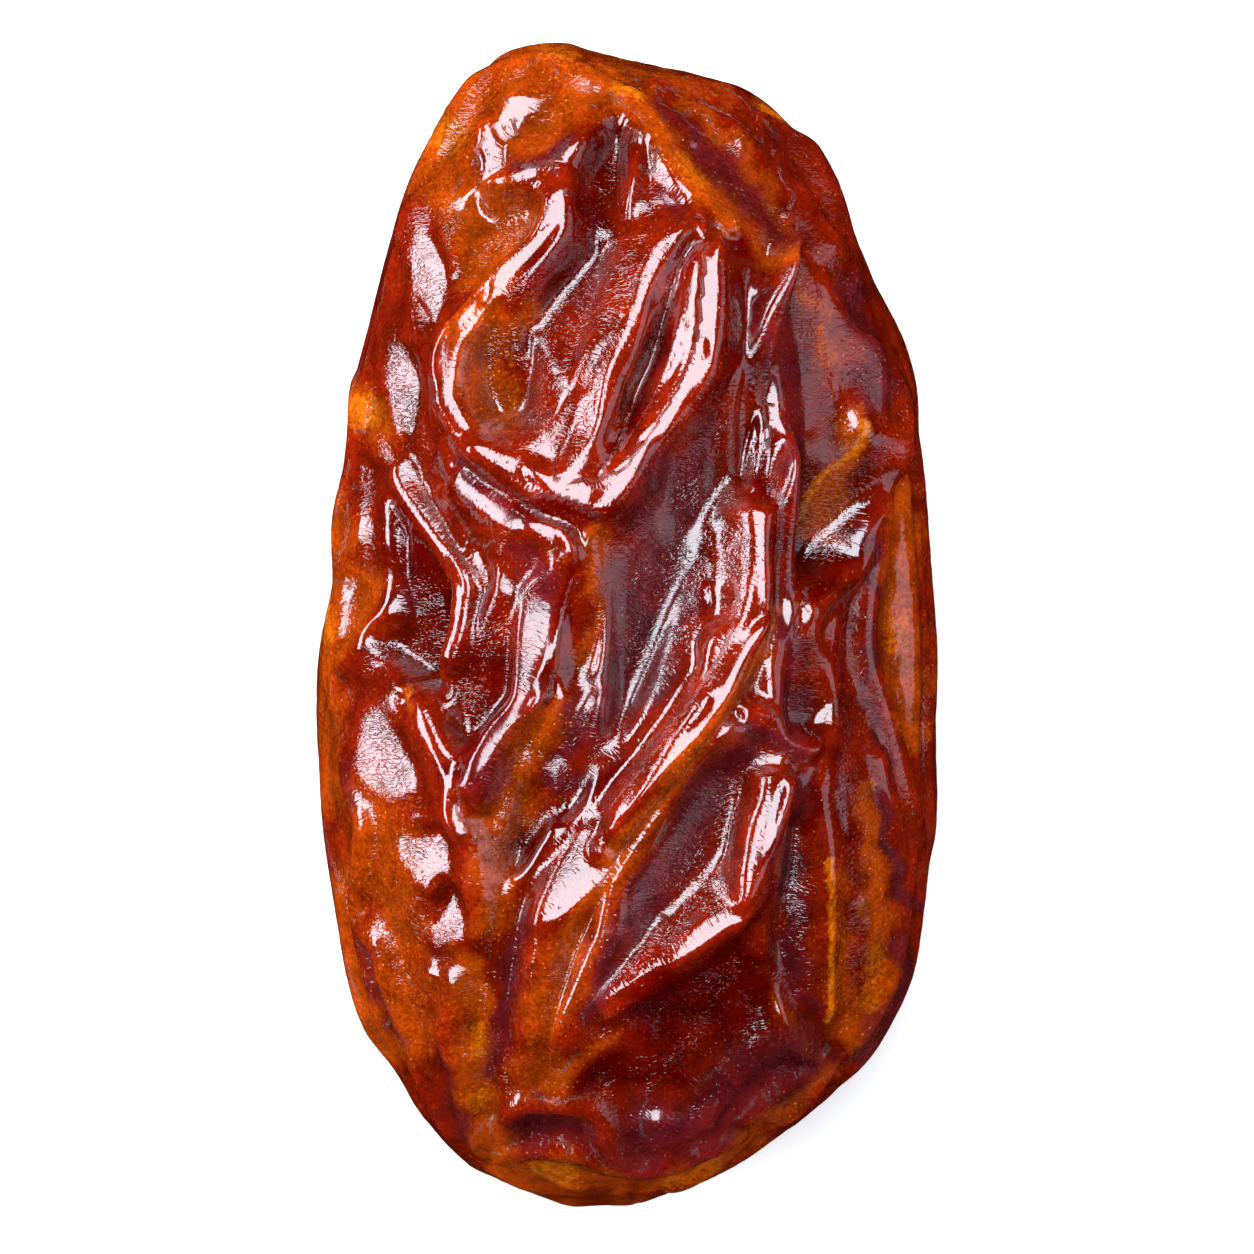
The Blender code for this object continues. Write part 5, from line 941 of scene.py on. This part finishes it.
# Seeded colour patches of the sides and the underside: reach along the body, turn past level, stretch
# along it, strength, and size in millimetres. The belt is in millimetres below the equator
PATCHES = 15
PATCH_SEED = 3
PATCH_REACH = 0.97
PATCH_TURN = 0.15
PATCH_STRETCH = (1.5, 4.0)
PATCH_STRENGTH = (0.5, 1.0)
PATCH_SIZE = (0.9, 2.2)
PATCH_DROP = (-1.0, 2.0)

# Reach of the crest lines that the material reads, and how far apart the beads of two crests start
CREST_REACH = 1.5
CREST_SHIFT = 17.0

# Fine crinkles and ripples: sizes and heights in millimetres, and the shape of a groove on the noise's scale
CRINKLE_SIZE = 1.0
CRINKLE_HEIGHT = 0.35
RIPPLE_SIZE = 0.9
RIPPLE_HEIGHT = 0.18
CRINKLE_SEED = 4.0
GROOVE_WIDTH = 0.12
GROOVE_ROUNDING = 0.05
GROOVE_MIDDLE = 0.08
RIPPLE_WIDTH = 0.12

# How far facets and crests keep crinkles off, and the belt round the rest spot in which they start
FACET_CALM = 0.85
CREST_CALM = 0.75
CREST_CALM_REACH = 0.8
REST_CALM = (1.2, 1.7)

# Smoothing of the skin before it is crinkled
SOFTEN_FACTOR = 0.5
SOFTEN_ROUNDS = 2

# Colours of the skin
AMBER_SKIN = (0.24, 0.0290, 0.0008, 1.0)
GOLD_SKIN = (0.50, 0.12, 0.002, 1.0)
RED_SKIN = (0.125, 0.0050, 0.0005, 1.0)
# Deep red skin, which also paints shade in the troughs, creases and hollows
DARK_SKIN_AND_SHADE = (0.078, 0.0008, 0.0002, 1.0)
# Dull plum skin, which also paints a lavender sheen
PLUM_SKIN_AND_SHEEN = (0.068, 0.0040, 0.0075, 1.0)
GOLD_SPECK = (0.52, 0.19, 0.006, 1.0)
# Pale colour of the painted glints
PAINTED_GLINT = (0.40, 0.17, 0.14, 1.0)

# Colour: clouds and grit break up the zones' edges, each by its size in millimetres and its spread. A
# range says where a zone starts and where it is full, a field where its specks lie: size, start, full.
# A span is the part of a noise that is spread out: a wide one is softer
SOFT_SPAN = (0.3, 0.7)
CLEAR_SPAN = (0.35, 0.65)
CLOUD = (2.2, 0.22)
GRIT = (0.28, 0.16)
GOLD_GRIT = 1.2
AMBER_RANGE = (0.12, 0.85)
DARK_AND_SHADE_RANGE = (0.15, 0.85)
PLUM_AND_SHEEN_RANGE = (0.15, 0.95)
GOLD_RANGE = (0.15, 1.15)
PLUM_AND_SHEEN_SHARE = 0.85
# Share of the painted glints' pale colour laid on the skin
GLINT_SHARE = 0.6
FLECK_SHARE = (0.35, 0.9)
FLECK_FIELD = (1.9, 0.42, 0.56)
# Where the painted glints lie
GLINT_FIELD = (2.3, 0.5, 0.62)
PIMPLE_FIELD = (1.2, 0.42, 0.58)

# Specks: how many to a millimetre, their radius as a share of their spacing, and the share kept
FLECKS = (4.5, 0.2, 0.5)
# Painted glints: small pale specks
GLINT_SPECKS = (5.5, 0.2, 0.5)
PIMPLES = (3.4, 0.24, 0.7)

# Uneven tone of the colour: size in millimetres, and the least and the most. Painted shade in the hollows
# and
# painted light on the raised folds: the raised height from which to which, and the least and the most
FINE_TONE = (0.14, 0.72, 1.35)
BROAD_TONE = (1.3, 0.66, 1.3)
RELIEF_LIGHT_AND_SHADE = (-1.3, 0.6, 0.62, 1.15)

# Gloss: size in millimetres, and the least and the most roughness. Plum skin is rougher
GLOSS = (0.9, 0.06, 0.11)
PLUM_ROUGHNESS = 0.09

# Fine relief of the material, in millimetres. Wrinkles are calmer in places: size, least and most
CALM = (1.6, 0.35, 1.0)
CALM_SPAN = (0.4, 0.6)
WAVES_PER_MM = 0.8
WRINKLE_STRETCH = (3.2, 8.0, 4.4)
WRINKLE_BEND = (4.5, 4.5, 4.5)
WRINKLE_WIDTH = 0.12
WRINKLE_HEIGHT = 0.010
BEADS_PER_MM = 3.6
BEAD_WIDTH = 0.1
BEAD_BEND = 0.2
BEAD_HEIGHT = 0.009
PIMPLE_HEIGHT = 0.010
GRAIN_SIZE = 0.16
GRAIN_HEIGHT = 0.0045

# Distance from a crest over which beads start, and over which they give way to wrinkles
BEAD_BELT = (0.15, 0.4)
CREST_BELT = (0.35, 0.8)

# Set on the shader's own sockets
SKIN_SOCKETS = {
    "Metallic": 0.0, "IOR": 1.6,
    "Subsurface Weight": 0.2, "Subsurface Radius": (1.0, 0.2, 0.06), "Subsurface Scale": 0.0012,
}
FLOOR_SOCKETS = {
    "Base Color": (0.85, 0.85, 0.85, 1.0), "Roughness": 0.8,
    "Emission Color": (1.0, 1.0, 1.0, 1.0), "Emission Strength": 0.3,
}

# The studio, in metres: each soft light's place, size, power in watts and colour
FLOOR_SIZE = 0.8
LIGHTS = {
    "overhead light": ((-0.03, 0.16, 0.49), (0.24, 0.5), 5.6, (0.86, 0.91, 1.0)),
    "left light": ((-0.36, 0.08, 0.24), (0.34, 0.15), 2.5, (0.86, 0.91, 1.0)),
    "right light": ((0.36, 0.0, 0.24), (0.3, 0.3), 0.45, (0.85, 0.86, 1.0)),
}
LIGHT_AIM = (0.0, 0.0, 0.01)
ROOM_COLOUR = (1.0, 1.0, 1.0, 1.0)
ROOM_GLOW = 0.4

# The camera: place in metres, sensor width and lens length in millimetres, and nearest distance it sees
CAMERA_PLACE = (0.00002, -0.00004, 0.5674)
SENSOR_WIDTH = 36.0
LENS_LENGTH = 400.0
NEAREST = 0.01


def node(tree, kind, inputs=None, **settings):
    """A new node with its settings made and its sockets filled or linked."""
    made = tree.nodes.new(kind)
    for name, value in settings.items():
        setattr(made, name, value)
    for key, value in (inputs or {}).items():
        if isinstance(value, bpy.types.NodeSocket):
            tree.links.new(value, made.inputs[key])
        else:
            made.inputs[key].default_value = value
    return made


def maths(tree, operation, first, second=0.0, third=0.0):
    """One step of arithmetic on sockets or numbers."""
    made = node(tree, "ShaderNodeMath", {0: first, 1: second, 2: third}, operation=operation)
    return made.outputs[0]


def scaled(tree, vector, factor):
    """A vector or colour, times a number."""
    return node(tree, "ShaderNodeVectorMath", {0: vector, "Scale": factor}, operation="SCALE").outputs[0]


def grid_tree():
    """Geometry nodes: a closed box grid, blown up to a ball of even faces."""
    tree = bpy.data.node_groups.new("even ball", "GeometryNodeTree")
    tree.interface.new_socket("Geometry", in_out="OUTPUT", socket_type="NodeSocketGeometry")
    names = ("Faces across", "Faces along", "Faces up")
    for name in names:
        tree.interface.new_socket(name, in_out="INPUT", socket_type="NodeSocketInt")
    given = node(tree, "NodeGroupInput").outputs
    counts = [maths(tree, "ADD", given[name], 1.0) for name in names]
    cube = node(tree, "GeometryNodeMeshCube", {
        "Size": (2.0, 2.0, 2.0),
        "Vertices X": counts[0], "Vertices Y": counts[1], "Vertices Z": counts[2]})
    position = node(tree, "GeometryNodeInputPosition").outputs[0]
    place = node(tree, "ShaderNodeSeparateXYZ", {0: position}).outputs
    rounded = []
    for axis in range(3):
        here, first, second = place[axis], place[(axis + 1) % 3], place[(axis + 2) % 3]
        first_square = maths(tree, "MULTIPLY", first, first)
        second_square = maths(tree, "MULTIPLY", second, second)
        both = maths(tree, "MULTIPLY", first_square, second_square)
        halves = maths(tree, "MULTIPLY", maths(tree, "ADD", first_square, second_square), -0.5)
        inside = maths(tree, "ADD", maths(tree, "MULTIPLY_ADD", both, 1.0 / 3.0, halves), 1.0)
        rounded.append(maths(tree, "MULTIPLY", here, maths(tree, "SQRT", inside)))
    ball = node(tree, "ShaderNodeCombineXYZ", {0: rounded[0], 1: rounded[1], 2: rounded[2]})
    moved = node(tree, "GeometryNodeSetPosition", {
        "Geometry": cube.outputs["Mesh"], "Position": ball.outputs[0]})
    solid = node(tree, "GeometryNodeRealizeInstances", {"Geometry": moved.outputs[0]})
    node(tree, "NodeGroupOutput", {"Geometry": solid.outputs[0]})
    return tree


def crinkle_tree(material):
    """Geometry nodes: fine crinkles raised along the skin's normals, weaker where the skin is taut and by
    crests.
    """
    tree = bpy.data.node_groups.new("fine crinkles", "GeometryNodeTree")
    tree.interface.new_socket("Geometry", in_out="OUTPUT", socket_type="NodeSocketGeometry")
    tree.interface.new_socket("Geometry", in_out="INPUT", socket_type="NodeSocketGeometry")
    for name in ("Crinkle size", "Crinkle height", "Ripple size", "Ripple height", "Seed"):
        tree.interface.new_socket(name, in_out="INPUT", socket_type="NodeSocketFloat")
    given = node(tree, "NodeGroupInput").outputs
    place = node(tree, "GeometryNodeInputPosition").outputs[0]
    loose = node(tree, "GeometryNodeInputNamedAttribute", {"Name": "loose"}, data_type="FLOAT").outputs[0]

    def creases(size, **settings):
        """0 along winding lines, more away from them."""
        where = scaled(tree, place, maths(tree, "DIVIDE", 1.0, given[size]))
        waves = node(tree, "ShaderNodeTexNoise", {
            "Vector": where, "W": given["Seed"], "Scale": 1.0, **settings}, noise_dimensions="4D")
        return maths(tree, "ABSOLUTE", maths(tree, "SUBTRACT", waves.outputs[0], 0.5))

    def raised_by(value, height):
        return maths(tree, "MULTIPLY", value, given[height])

    ridge = creases("Ripple size", Detail=2.0, Roughness=0.55)
    groove = maths(tree, "SMOOTH_MIN", creases("Crinkle size", Detail=1.0), GROOVE_WIDTH, GROOVE_ROUNDING)
    groove_rise = raised_by(maths(tree, "SUBTRACT", groove, GROOVE_MIDDLE), "Crinkle height")
    ripple_rise = raised_by(maths(tree, "SUBTRACT", RIPPLE_WIDTH, ridge), "Ripple height")
    rise = maths(tree, "MULTIPLY", maths(tree, "ADD", groove_rise, ripple_rise), loose)
    offset = scaled(tree, node(tree, "GeometryNodeInputNormal").outputs[0], rise)
    moved = node(tree, "GeometryNodeSetPosition", {"Geometry": given["Geometry"], "Offset": offset})
    solid = node(tree, "GeometryNodeRealizeInstances", {"Geometry": moved.outputs[0]})
    dressed = node(tree, "GeometryNodeSetMaterial", {"Geometry": solid.outputs[0], "Material": material})
    node(tree, "NodeGroupOutput", {"Geometry": dressed.outputs[0]})
    return tree


def run_tree(piece, tree, **inputs):
    """Run a geometry-node tree on a piece, and keep its result as the piece's plain mesh."""
    modifier = piece.modifiers.new(tree.name, "NODES")
    modifier.node_group = tree
    for item in tree.interface.items_tree:
        if item.in_out == "INPUT" and item.name in inputs:
            modifier[item.identifier] = inputs[item.name]
    seen = piece.evaluated_get(bpy.context.evaluated_depsgraph_get())
    result = bpy.data.meshes.new_from_object(seen)
    piece.modifiers.clear()
    piece.data = result
    return result


def wander(points):
    """Points seen from above, shifted a little so that the edges of the colour zones are uneven."""
    x, y = points[:, 0], points[:, 1]
    shift_x = np.sin(1.3 * y + 1.1 * x) + np.sin(2.9 * y - 1.7 * x + 1.0)
    shift_y = np.sin(1.5 * x + 0.9 * y + 3.0) + np.sin(2.7 * x - 1.4 * y + 0.4)
    return np.stack([x + WANDER * shift_x, y + WANDER * shift_y], axis=1)


def zone_strength(points, seen, zones):
    """0 to 1: how far each point lies in any of the zones of the upper side."""
    clear = np.ones(len(points))
    for half_width, strength, line in zones.values():
        line = smooth_path(line) if len(line) > 2 else np.array(line, dtype=float)
        nearest = np.full(len(points), np.inf)
        for start, end in zip(line, line[1:]):
            along = end - start
            share = np.clip((seen - start) @ along / (along @ along), 0.0, 1.0)
            gap = seen - start - share[:, None] * along
            nearest = np.minimum(nearest, np.einsum("ij,ij->i", gap, gap))
        clear *= 1.0 - strength * np.exp(-((nearest / half_width ** 2) ** ZONE_EDGE))
    return (1.0 - clear) * belt_share(points, ZONE_BELT)


def under_strength(points, table, seed):
    """Seeded patches of the underside and the sides."""
    draw = np.random.default_rng(seed)
    total = np.zeros(len(points))
    for _ in range(PATCHES):
        along = draw.uniform(-PATCH_REACH, PATCH_REACH)
        turn = draw.uniform(-PATCH_TURN, math.pi + PATCH_TURN)
        offset = offset_from(points, along, turn, table)
        stretch = draw.uniform(*PATCH_STRETCH)
        far = (offset[:, 1] / stretch) ** 2 + offset[:, 0] ** 2 + offset[:, 2] ** 2
        here = draw.uniform(*PATCH_STRENGTH) * np.exp(-far / draw.uniform(*PATCH_SIZE) ** 2)
        total = 1.0 - (1.0 - total) * (1.0 - here)
    return total * smooth_step(*PATCH_DROP, EQUATOR_HEIGHT - points[:, 2])


def crest_lines(points, table):
    """Each point's distance to the nearest crest line, its place along it, and its distance across it.

    Off every line the first is the reach, and the others are 0. All are in millimetres.
    """
    near = np.full(len(points), CREST_REACH)
    along = np.zeros(len(points))
    paths = [on_body(fold[-1], table) for fold in FOLDS.values()]
    paths += [fold[-1] for fold in under_folds(table)]
    for number, path in enumerate(paths):
        index, offset, _, place, _ = near_path(points, path, CREST_REACH)
        distance = np.linalg.norm(offset, axis=1)
        closer = distance < near[index]
        chosen = index[closer]
        near[chosen] = distance[closer]
        along[chosen] = place[closer] + number * CREST_SHIFT
    return near, along, np.where(near < CREST_REACH, near, 0.0)


def crinkle_share(points, near, taut):
    """How freely crinkles grow: less on taut facets and by crests, and none on the rest spot."""
    calm = (1.0 - FACET_CALM * taut) * (1.0 - CREST_CALM * np.exp(-((near / CREST_CALM_REACH) ** 2)))
    off_rest = smooth_step(*REST_CALM, rest_distance(points))
    return calm * np.where(points[:, 2] > EQUATOR_HEIGHT, 1.0, off_rest)


def set_floats(mesh, name, values):
    """Keep one number for each point, for the material or a geometry-node tree to read."""
    layer = mesh.attributes.new(name, "FLOAT", "POINT")
    layer.data.foreach_set("value", np.ascontiguousarray(values, dtype=np.float32))


def make_skin(material):
    """The fruit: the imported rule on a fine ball, then crinkles, with its colour zones as attributes."""
    piece = bpy.data.objects.new("date_skin", bpy.data.meshes.new("date_skin"))
    bpy.context.scene.collection.objects.link(piece)
    mesh = run_tree(piece, grid_tree(), **{
        "Faces across": FACES_ACROSS, "Faces along": FACES_ALONG, "Faces up": FACES_UP})
    flat = np.zeros(len(mesh.vertices) * 3)
    mesh.vertices.foreach_get("co", flat)
    ball = flat.reshape(-1, 3)
    table = outline_table()
    points = body_points(ball / np.linalg.norm(ball, axis=1)[:, None], table)
    mesh.vertices.foreach_set("co", points.ravel())
    mesh.update()
    mesh.vertex_normals.foreach_get("vector", flat)
    normals = flat.reshape(-1, 3).copy()
    raised = relief(points, normals, table)
    near, along, across = crest_lines(points, table)
    seen = wander(points)
    for seed, (name, zones) in enumerate(ZONES.items(), PATCH_SEED):
        under = under_strength(points, table, seed)
        where = points[:, :2] if name == STEADY else seen
        set_floats(mesh, name, np.maximum(zone_strength(points, where, zones), under))
    taut = np.zeros(len(points))
    for facet in FACETS.values():
        taut = np.maximum(taut, facet_share(points, facet)[0])
    kept = {
        "raised": raised, "near": near, "along": along, "across": across,
        "loose": crinkle_share(points, near, taut),
    }
    for name, values in kept.items():
        set_floats(mesh, name, values)
    points += normals * raised[:, None]
    settle(points)
    mesh.vertices.foreach_set("co", (points * MM).ravel())
    mesh.update()
    soften = piece.modifiers.new("rounded edges", "SMOOTH")
    soften.factor = SOFTEN_FACTOR
    soften.iterations = SOFTEN_ROUNDS
    mesh = run_tree(piece, crinkle_tree(material), **{
        "Crinkle size": CRINKLE_SIZE * MM, "Crinkle height": CRINKLE_HEIGHT * MM,
        "Ripple size": RIPPLE_SIZE * MM, "Ripple height": RIPPLE_HEIGHT * MM, "Seed": CRINKLE_SEED})
    mesh.vertices.foreach_get("co", flat)
    flat[2::3] = np.maximum(flat[2::3] - REST_CUT * MM, 0.0)
    mesh.vertices.foreach_set("co", flat)
    mesh.shade_smooth()
    return piece


def set_sockets(shader, values):
    """Set numbers and colours on a shader's own sockets."""
    for name, value in values.items():
        shader.inputs[name].default_value = value


def skin_material():
    """Glossy, translucent dried skin, from amber and gold through red to deep plum, with painted shade in
    its hollows, painted light on its folds, a painted sheen on the plum and painted glints.
    """
    material = bpy.data.materials.new("date skin")
    material.use_nodes = True
    tree = material.node_tree
    shader = tree.nodes["Principled BSDF"]
    place = scaled(tree, node(tree, "ShaderNodeTexCoord").outputs["Object"], 1.0 / MM)

    def read(name):
        return node(tree, "ShaderNodeAttribute", attribute_name=name).outputs["Fac"]

    def mix(share, first, second):
        made = node(tree, "ShaderNodeMix", data_type="RGBA")
        for socket, value in ((made.inputs[0], share), (made.inputs[6], first), (made.inputs[7], second)):
            if isinstance(value, bpy.types.NodeSocket):
                tree.links.new(value, socket)
            else:
                socket.default_value = value
        return made.outputs[2]

    def noise(size, detail=3.0, roughness=0.5):
        return node(tree, "ShaderNodeTexNoise", {
            "Vector": place, "Scale": 1.0 / size, "Detail": detail, "Roughness": roughness}).outputs[0]

    def ramp(value, low, high, to_low=0.0, to_high=1.0):
        return node(tree, "ShaderNodeMapRange", {
            0: value, 1: low, 2: high, 3: to_low, 4: to_high}).outputs[0]

    def times(first, second):
        return maths(tree, "MULTIPLY", first, second)

    def plus(first, second):
        return maths(tree, "ADD", first, second)

    def field(spread, detail=3.0):
        """1 in scattered areas, 0 outside them."""
        size, start, full = spread
        return ramp(noise(size, detail), start, full)

    def lines(where, width, bend=0.5):
        """0 in thin winding grooves, 1 between them."""
        value = node(tree, "ShaderNodeTexNoise", {
            "Vector": where, "Scale": 1.0, "Detail": 1.0, "Roughness": 0.4,
            "Distortion": bend}).outputs[0]
        away = maths(tree, "ABSOLUTE", maths(tree, "SUBTRACT", value, 0.5))
        return ramp(away, 0.0, width)

    def specks(per_mm, radius, share):
        """1 in small round specks."""
        found = node(tree, "ShaderNodeTexVoronoi", {"Vector": place, "Scale": per_mm})
        chance = node(tree, "ShaderNodeSeparateColor", {0: found.outputs["Color"]}).outputs[0]
        spot = ramp(found.outputs["Distance"], radius * 0.5, radius, 1.0, 0.0)
        return times(spot, maths(tree, "LESS_THAN", chance, share))

    def vary(size, detail, low, high, span=CLEAR_SPAN, roughness=0.6):
        """An uneven number between the low and the high one."""
        return ramp(noise(size, detail, roughness), *span, low, high)

    cloud = vary(CLOUD[0], 4.0, -CLOUD[1], CLOUD[1], SOFT_SPAN)
    grit = vary(GRIT[0], 2.0, -GRIT[1], GRIT[1], SOFT_SPAN)
    both = plus(cloud, grit)
    amber = ramp(plus(read("amber"), both), *AMBER_RANGE)
    dark_and_shade = ramp(maths(tree, "SUBTRACT", read("dark_and_shade"), cloud), *DARK_AND_SHADE_RANGE)
    plum_and_sheen = ramp(plus(read("plum_and_sheen"), both), *PLUM_AND_SHEEN_RANGE)
    gold = ramp(plus(read("gold"), times(grit, GOLD_GRIT)), *GOLD_RANGE)
    colour = mix(amber, RED_SKIN, AMBER_SKIN)
    # Deep red of the dark zones, partly painted shade in the troughs, creases and hollows
    colour = mix(dark_and_shade, colour, DARK_SKIN_AND_SHADE)
    # Plum of the plum zones, partly a painted sheen
    colour = mix(times(plum_and_sheen, PLUM_AND_SHEEN_SHARE), colour, PLUM_SKIN_AND_SHEEN)
    colour = mix(gold, colour, GOLD_SKIN)
    fleck = times(specks(*FLECKS), field(FLECK_FIELD))
    bright = ramp(plus(amber, gold), 0.0, 1.0, *FLECK_SHARE)
    colour = mix(times(fleck, bright), colour, GOLD_SPECK)
    # Painted glints: small pale specks laid into the colour
    glint = times(specks(*GLINT_SPECKS), field(GLINT_FIELD, 2.0))
    colour = mix(times(glint, GLINT_SHARE), colour, PAINTED_GLINT)
    fine = vary(FINE_TONE[0], 3.0, *FINE_TONE[1:], roughness=0.7)
    broad = vary(BROAD_TONE[0], 3.0, *BROAD_TONE[1:])
    # Uneven tone, with painted shade in the hollows and painted light on the raised folds, by the raised
    # height
    tone_and_painted_shade = times(times(fine, broad), ramp(read("raised"), *RELIEF_LIGHT_AND_SHADE))
    tree.links.new(scaled(tree, colour, tone_and_painted_shade), shader.inputs["Base Color"])

    sheen = vary(GLOSS[0], 3.0, *GLOSS[1:], SOFT_SPAN)
    tree.links.new(plus(sheen, times(plum_and_sheen, PLUM_ROUGHNESS)), shader.inputs["Roughness"])

    near = read("near")
    crest = ramp(near, *CREST_BELT, 1.0, 0.0)
    stretched = node(tree, "ShaderNodeVectorMath", {
        0: place, 1: WRINKLE_STRETCH}, operation="MULTIPLY").outputs[0]
    long_wave = node(tree, "ShaderNodeTexNoise", {
        "Vector": place, "Scale": WAVES_PER_MM, "Detail": 1.0}).outputs["Color"]
    waved = node(tree, "ShaderNodeVectorMath", {
        0: long_wave, 1: WRINKLE_BEND, 2: stretched}, operation="MULTIPLY_ADD").outputs[0]
    calm = vary(CALM[0], 2.0, *CALM[1:], CALM_SPAN, 0.5)
    off_crest = times(lines(waved, WRINKLE_WIDTH), maths(tree, "SUBTRACT", 1.0, crest))
    wrinkle_height = times(off_crest, times(calm, WRINKLE_HEIGHT))
    beads = node(tree, "ShaderNodeCombineXYZ", {
        0: times(read("along"), BEADS_PER_MM), 1: read("across")}).outputs[0]
    edge = times(crest, ramp(near, *BEAD_BELT))
    bead_height = times(times(lines(beads, BEAD_WIDTH, BEAD_BEND), edge), BEAD_HEIGHT)
    pimple = times(specks(*PIMPLES), field(PIMPLE_FIELD, 2.0))
    grain = noise(GRAIN_SIZE, 2.0, 0.6)
    skin_height = plus(times(grain, GRAIN_HEIGHT), times(pimple, PIMPLE_HEIGHT))
    height = plus(plus(wrinkle_height, bead_height), skin_height)
    bump = node(tree, "ShaderNodeBump", {"Strength": 1.0, "Distance": MM, "Height": height})
    tree.links.new(bump.outputs[0], shader.inputs["Normal"])

    set_sockets(shader, SKIN_SOCKETS)
    return material


def make_floor():
    """A plain pale floor, kept out of the skin's reflections."""
    bpy.ops.mesh.primitive_plane_add(size=FLOOR_SIZE)
    floor = bpy.context.object
    floor.name = "floor"
    material = bpy.data.materials.new("pale floor")
    material.use_nodes = True
    set_sockets(material.node_tree.nodes["Principled BSDF"], FLOOR_SOCKETS)
    floor.data.materials.append(material)
    floor.visible_glossy = False


def softbox(name, place, size, power, colour):
    """A soft rectangular light, turned to the fruit."""
    lamp = bpy.data.lights.new(name, "AREA")
    lamp.energy = power
    lamp.shape = "RECTANGLE"
    lamp.size, lamp.size_y = size
    lamp.color = colour
    holder = bpy.data.objects.new(name, lamp)
    holder.location = place
    towards = Vector(LIGHT_AIM) - Vector(place)
    holder.rotation_euler = towards.to_track_quat("-Z", "Y").to_euler()
    bpy.context.scene.collection.objects.link(holder)


def make_light():
    """Soft studio lights in a pale room."""
    for name, settings in LIGHTS.items():
        softbox(name, *settings)
    world = bpy.data.worlds.new("pale room")
    world.use_nodes = True
    set_sockets(world.node_tree.nodes["Background"], {"Color": ROOM_COLOUR, "Strength": ROOM_GLOW})
    world.cycles_visibility.glossy = False
    bpy.context.scene.world = world


def make_camera():
    """Straight above, far enough for the long lens to see the photo's frame."""
    lens = bpy.data.cameras.new("camera")
    lens.sensor_width = SENSOR_WIDTH
    lens.lens = LENS_LENGTH
    lens.clip_start = NEAREST
    camera = bpy.data.objects.new("camera", lens)
    camera.location = CAMERA_PLACE
    bpy.context.scene.collection.objects.link(camera)
    bpy.context.scene.camera = camera
    bpy.context.scene.view_settings.view_transform = "Standard"


def main():
    skin = make_skin(skin_material())
    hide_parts("date_fruit")
    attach(skin, "root")
    make_floor()
    make_light()
    make_camera()


main()
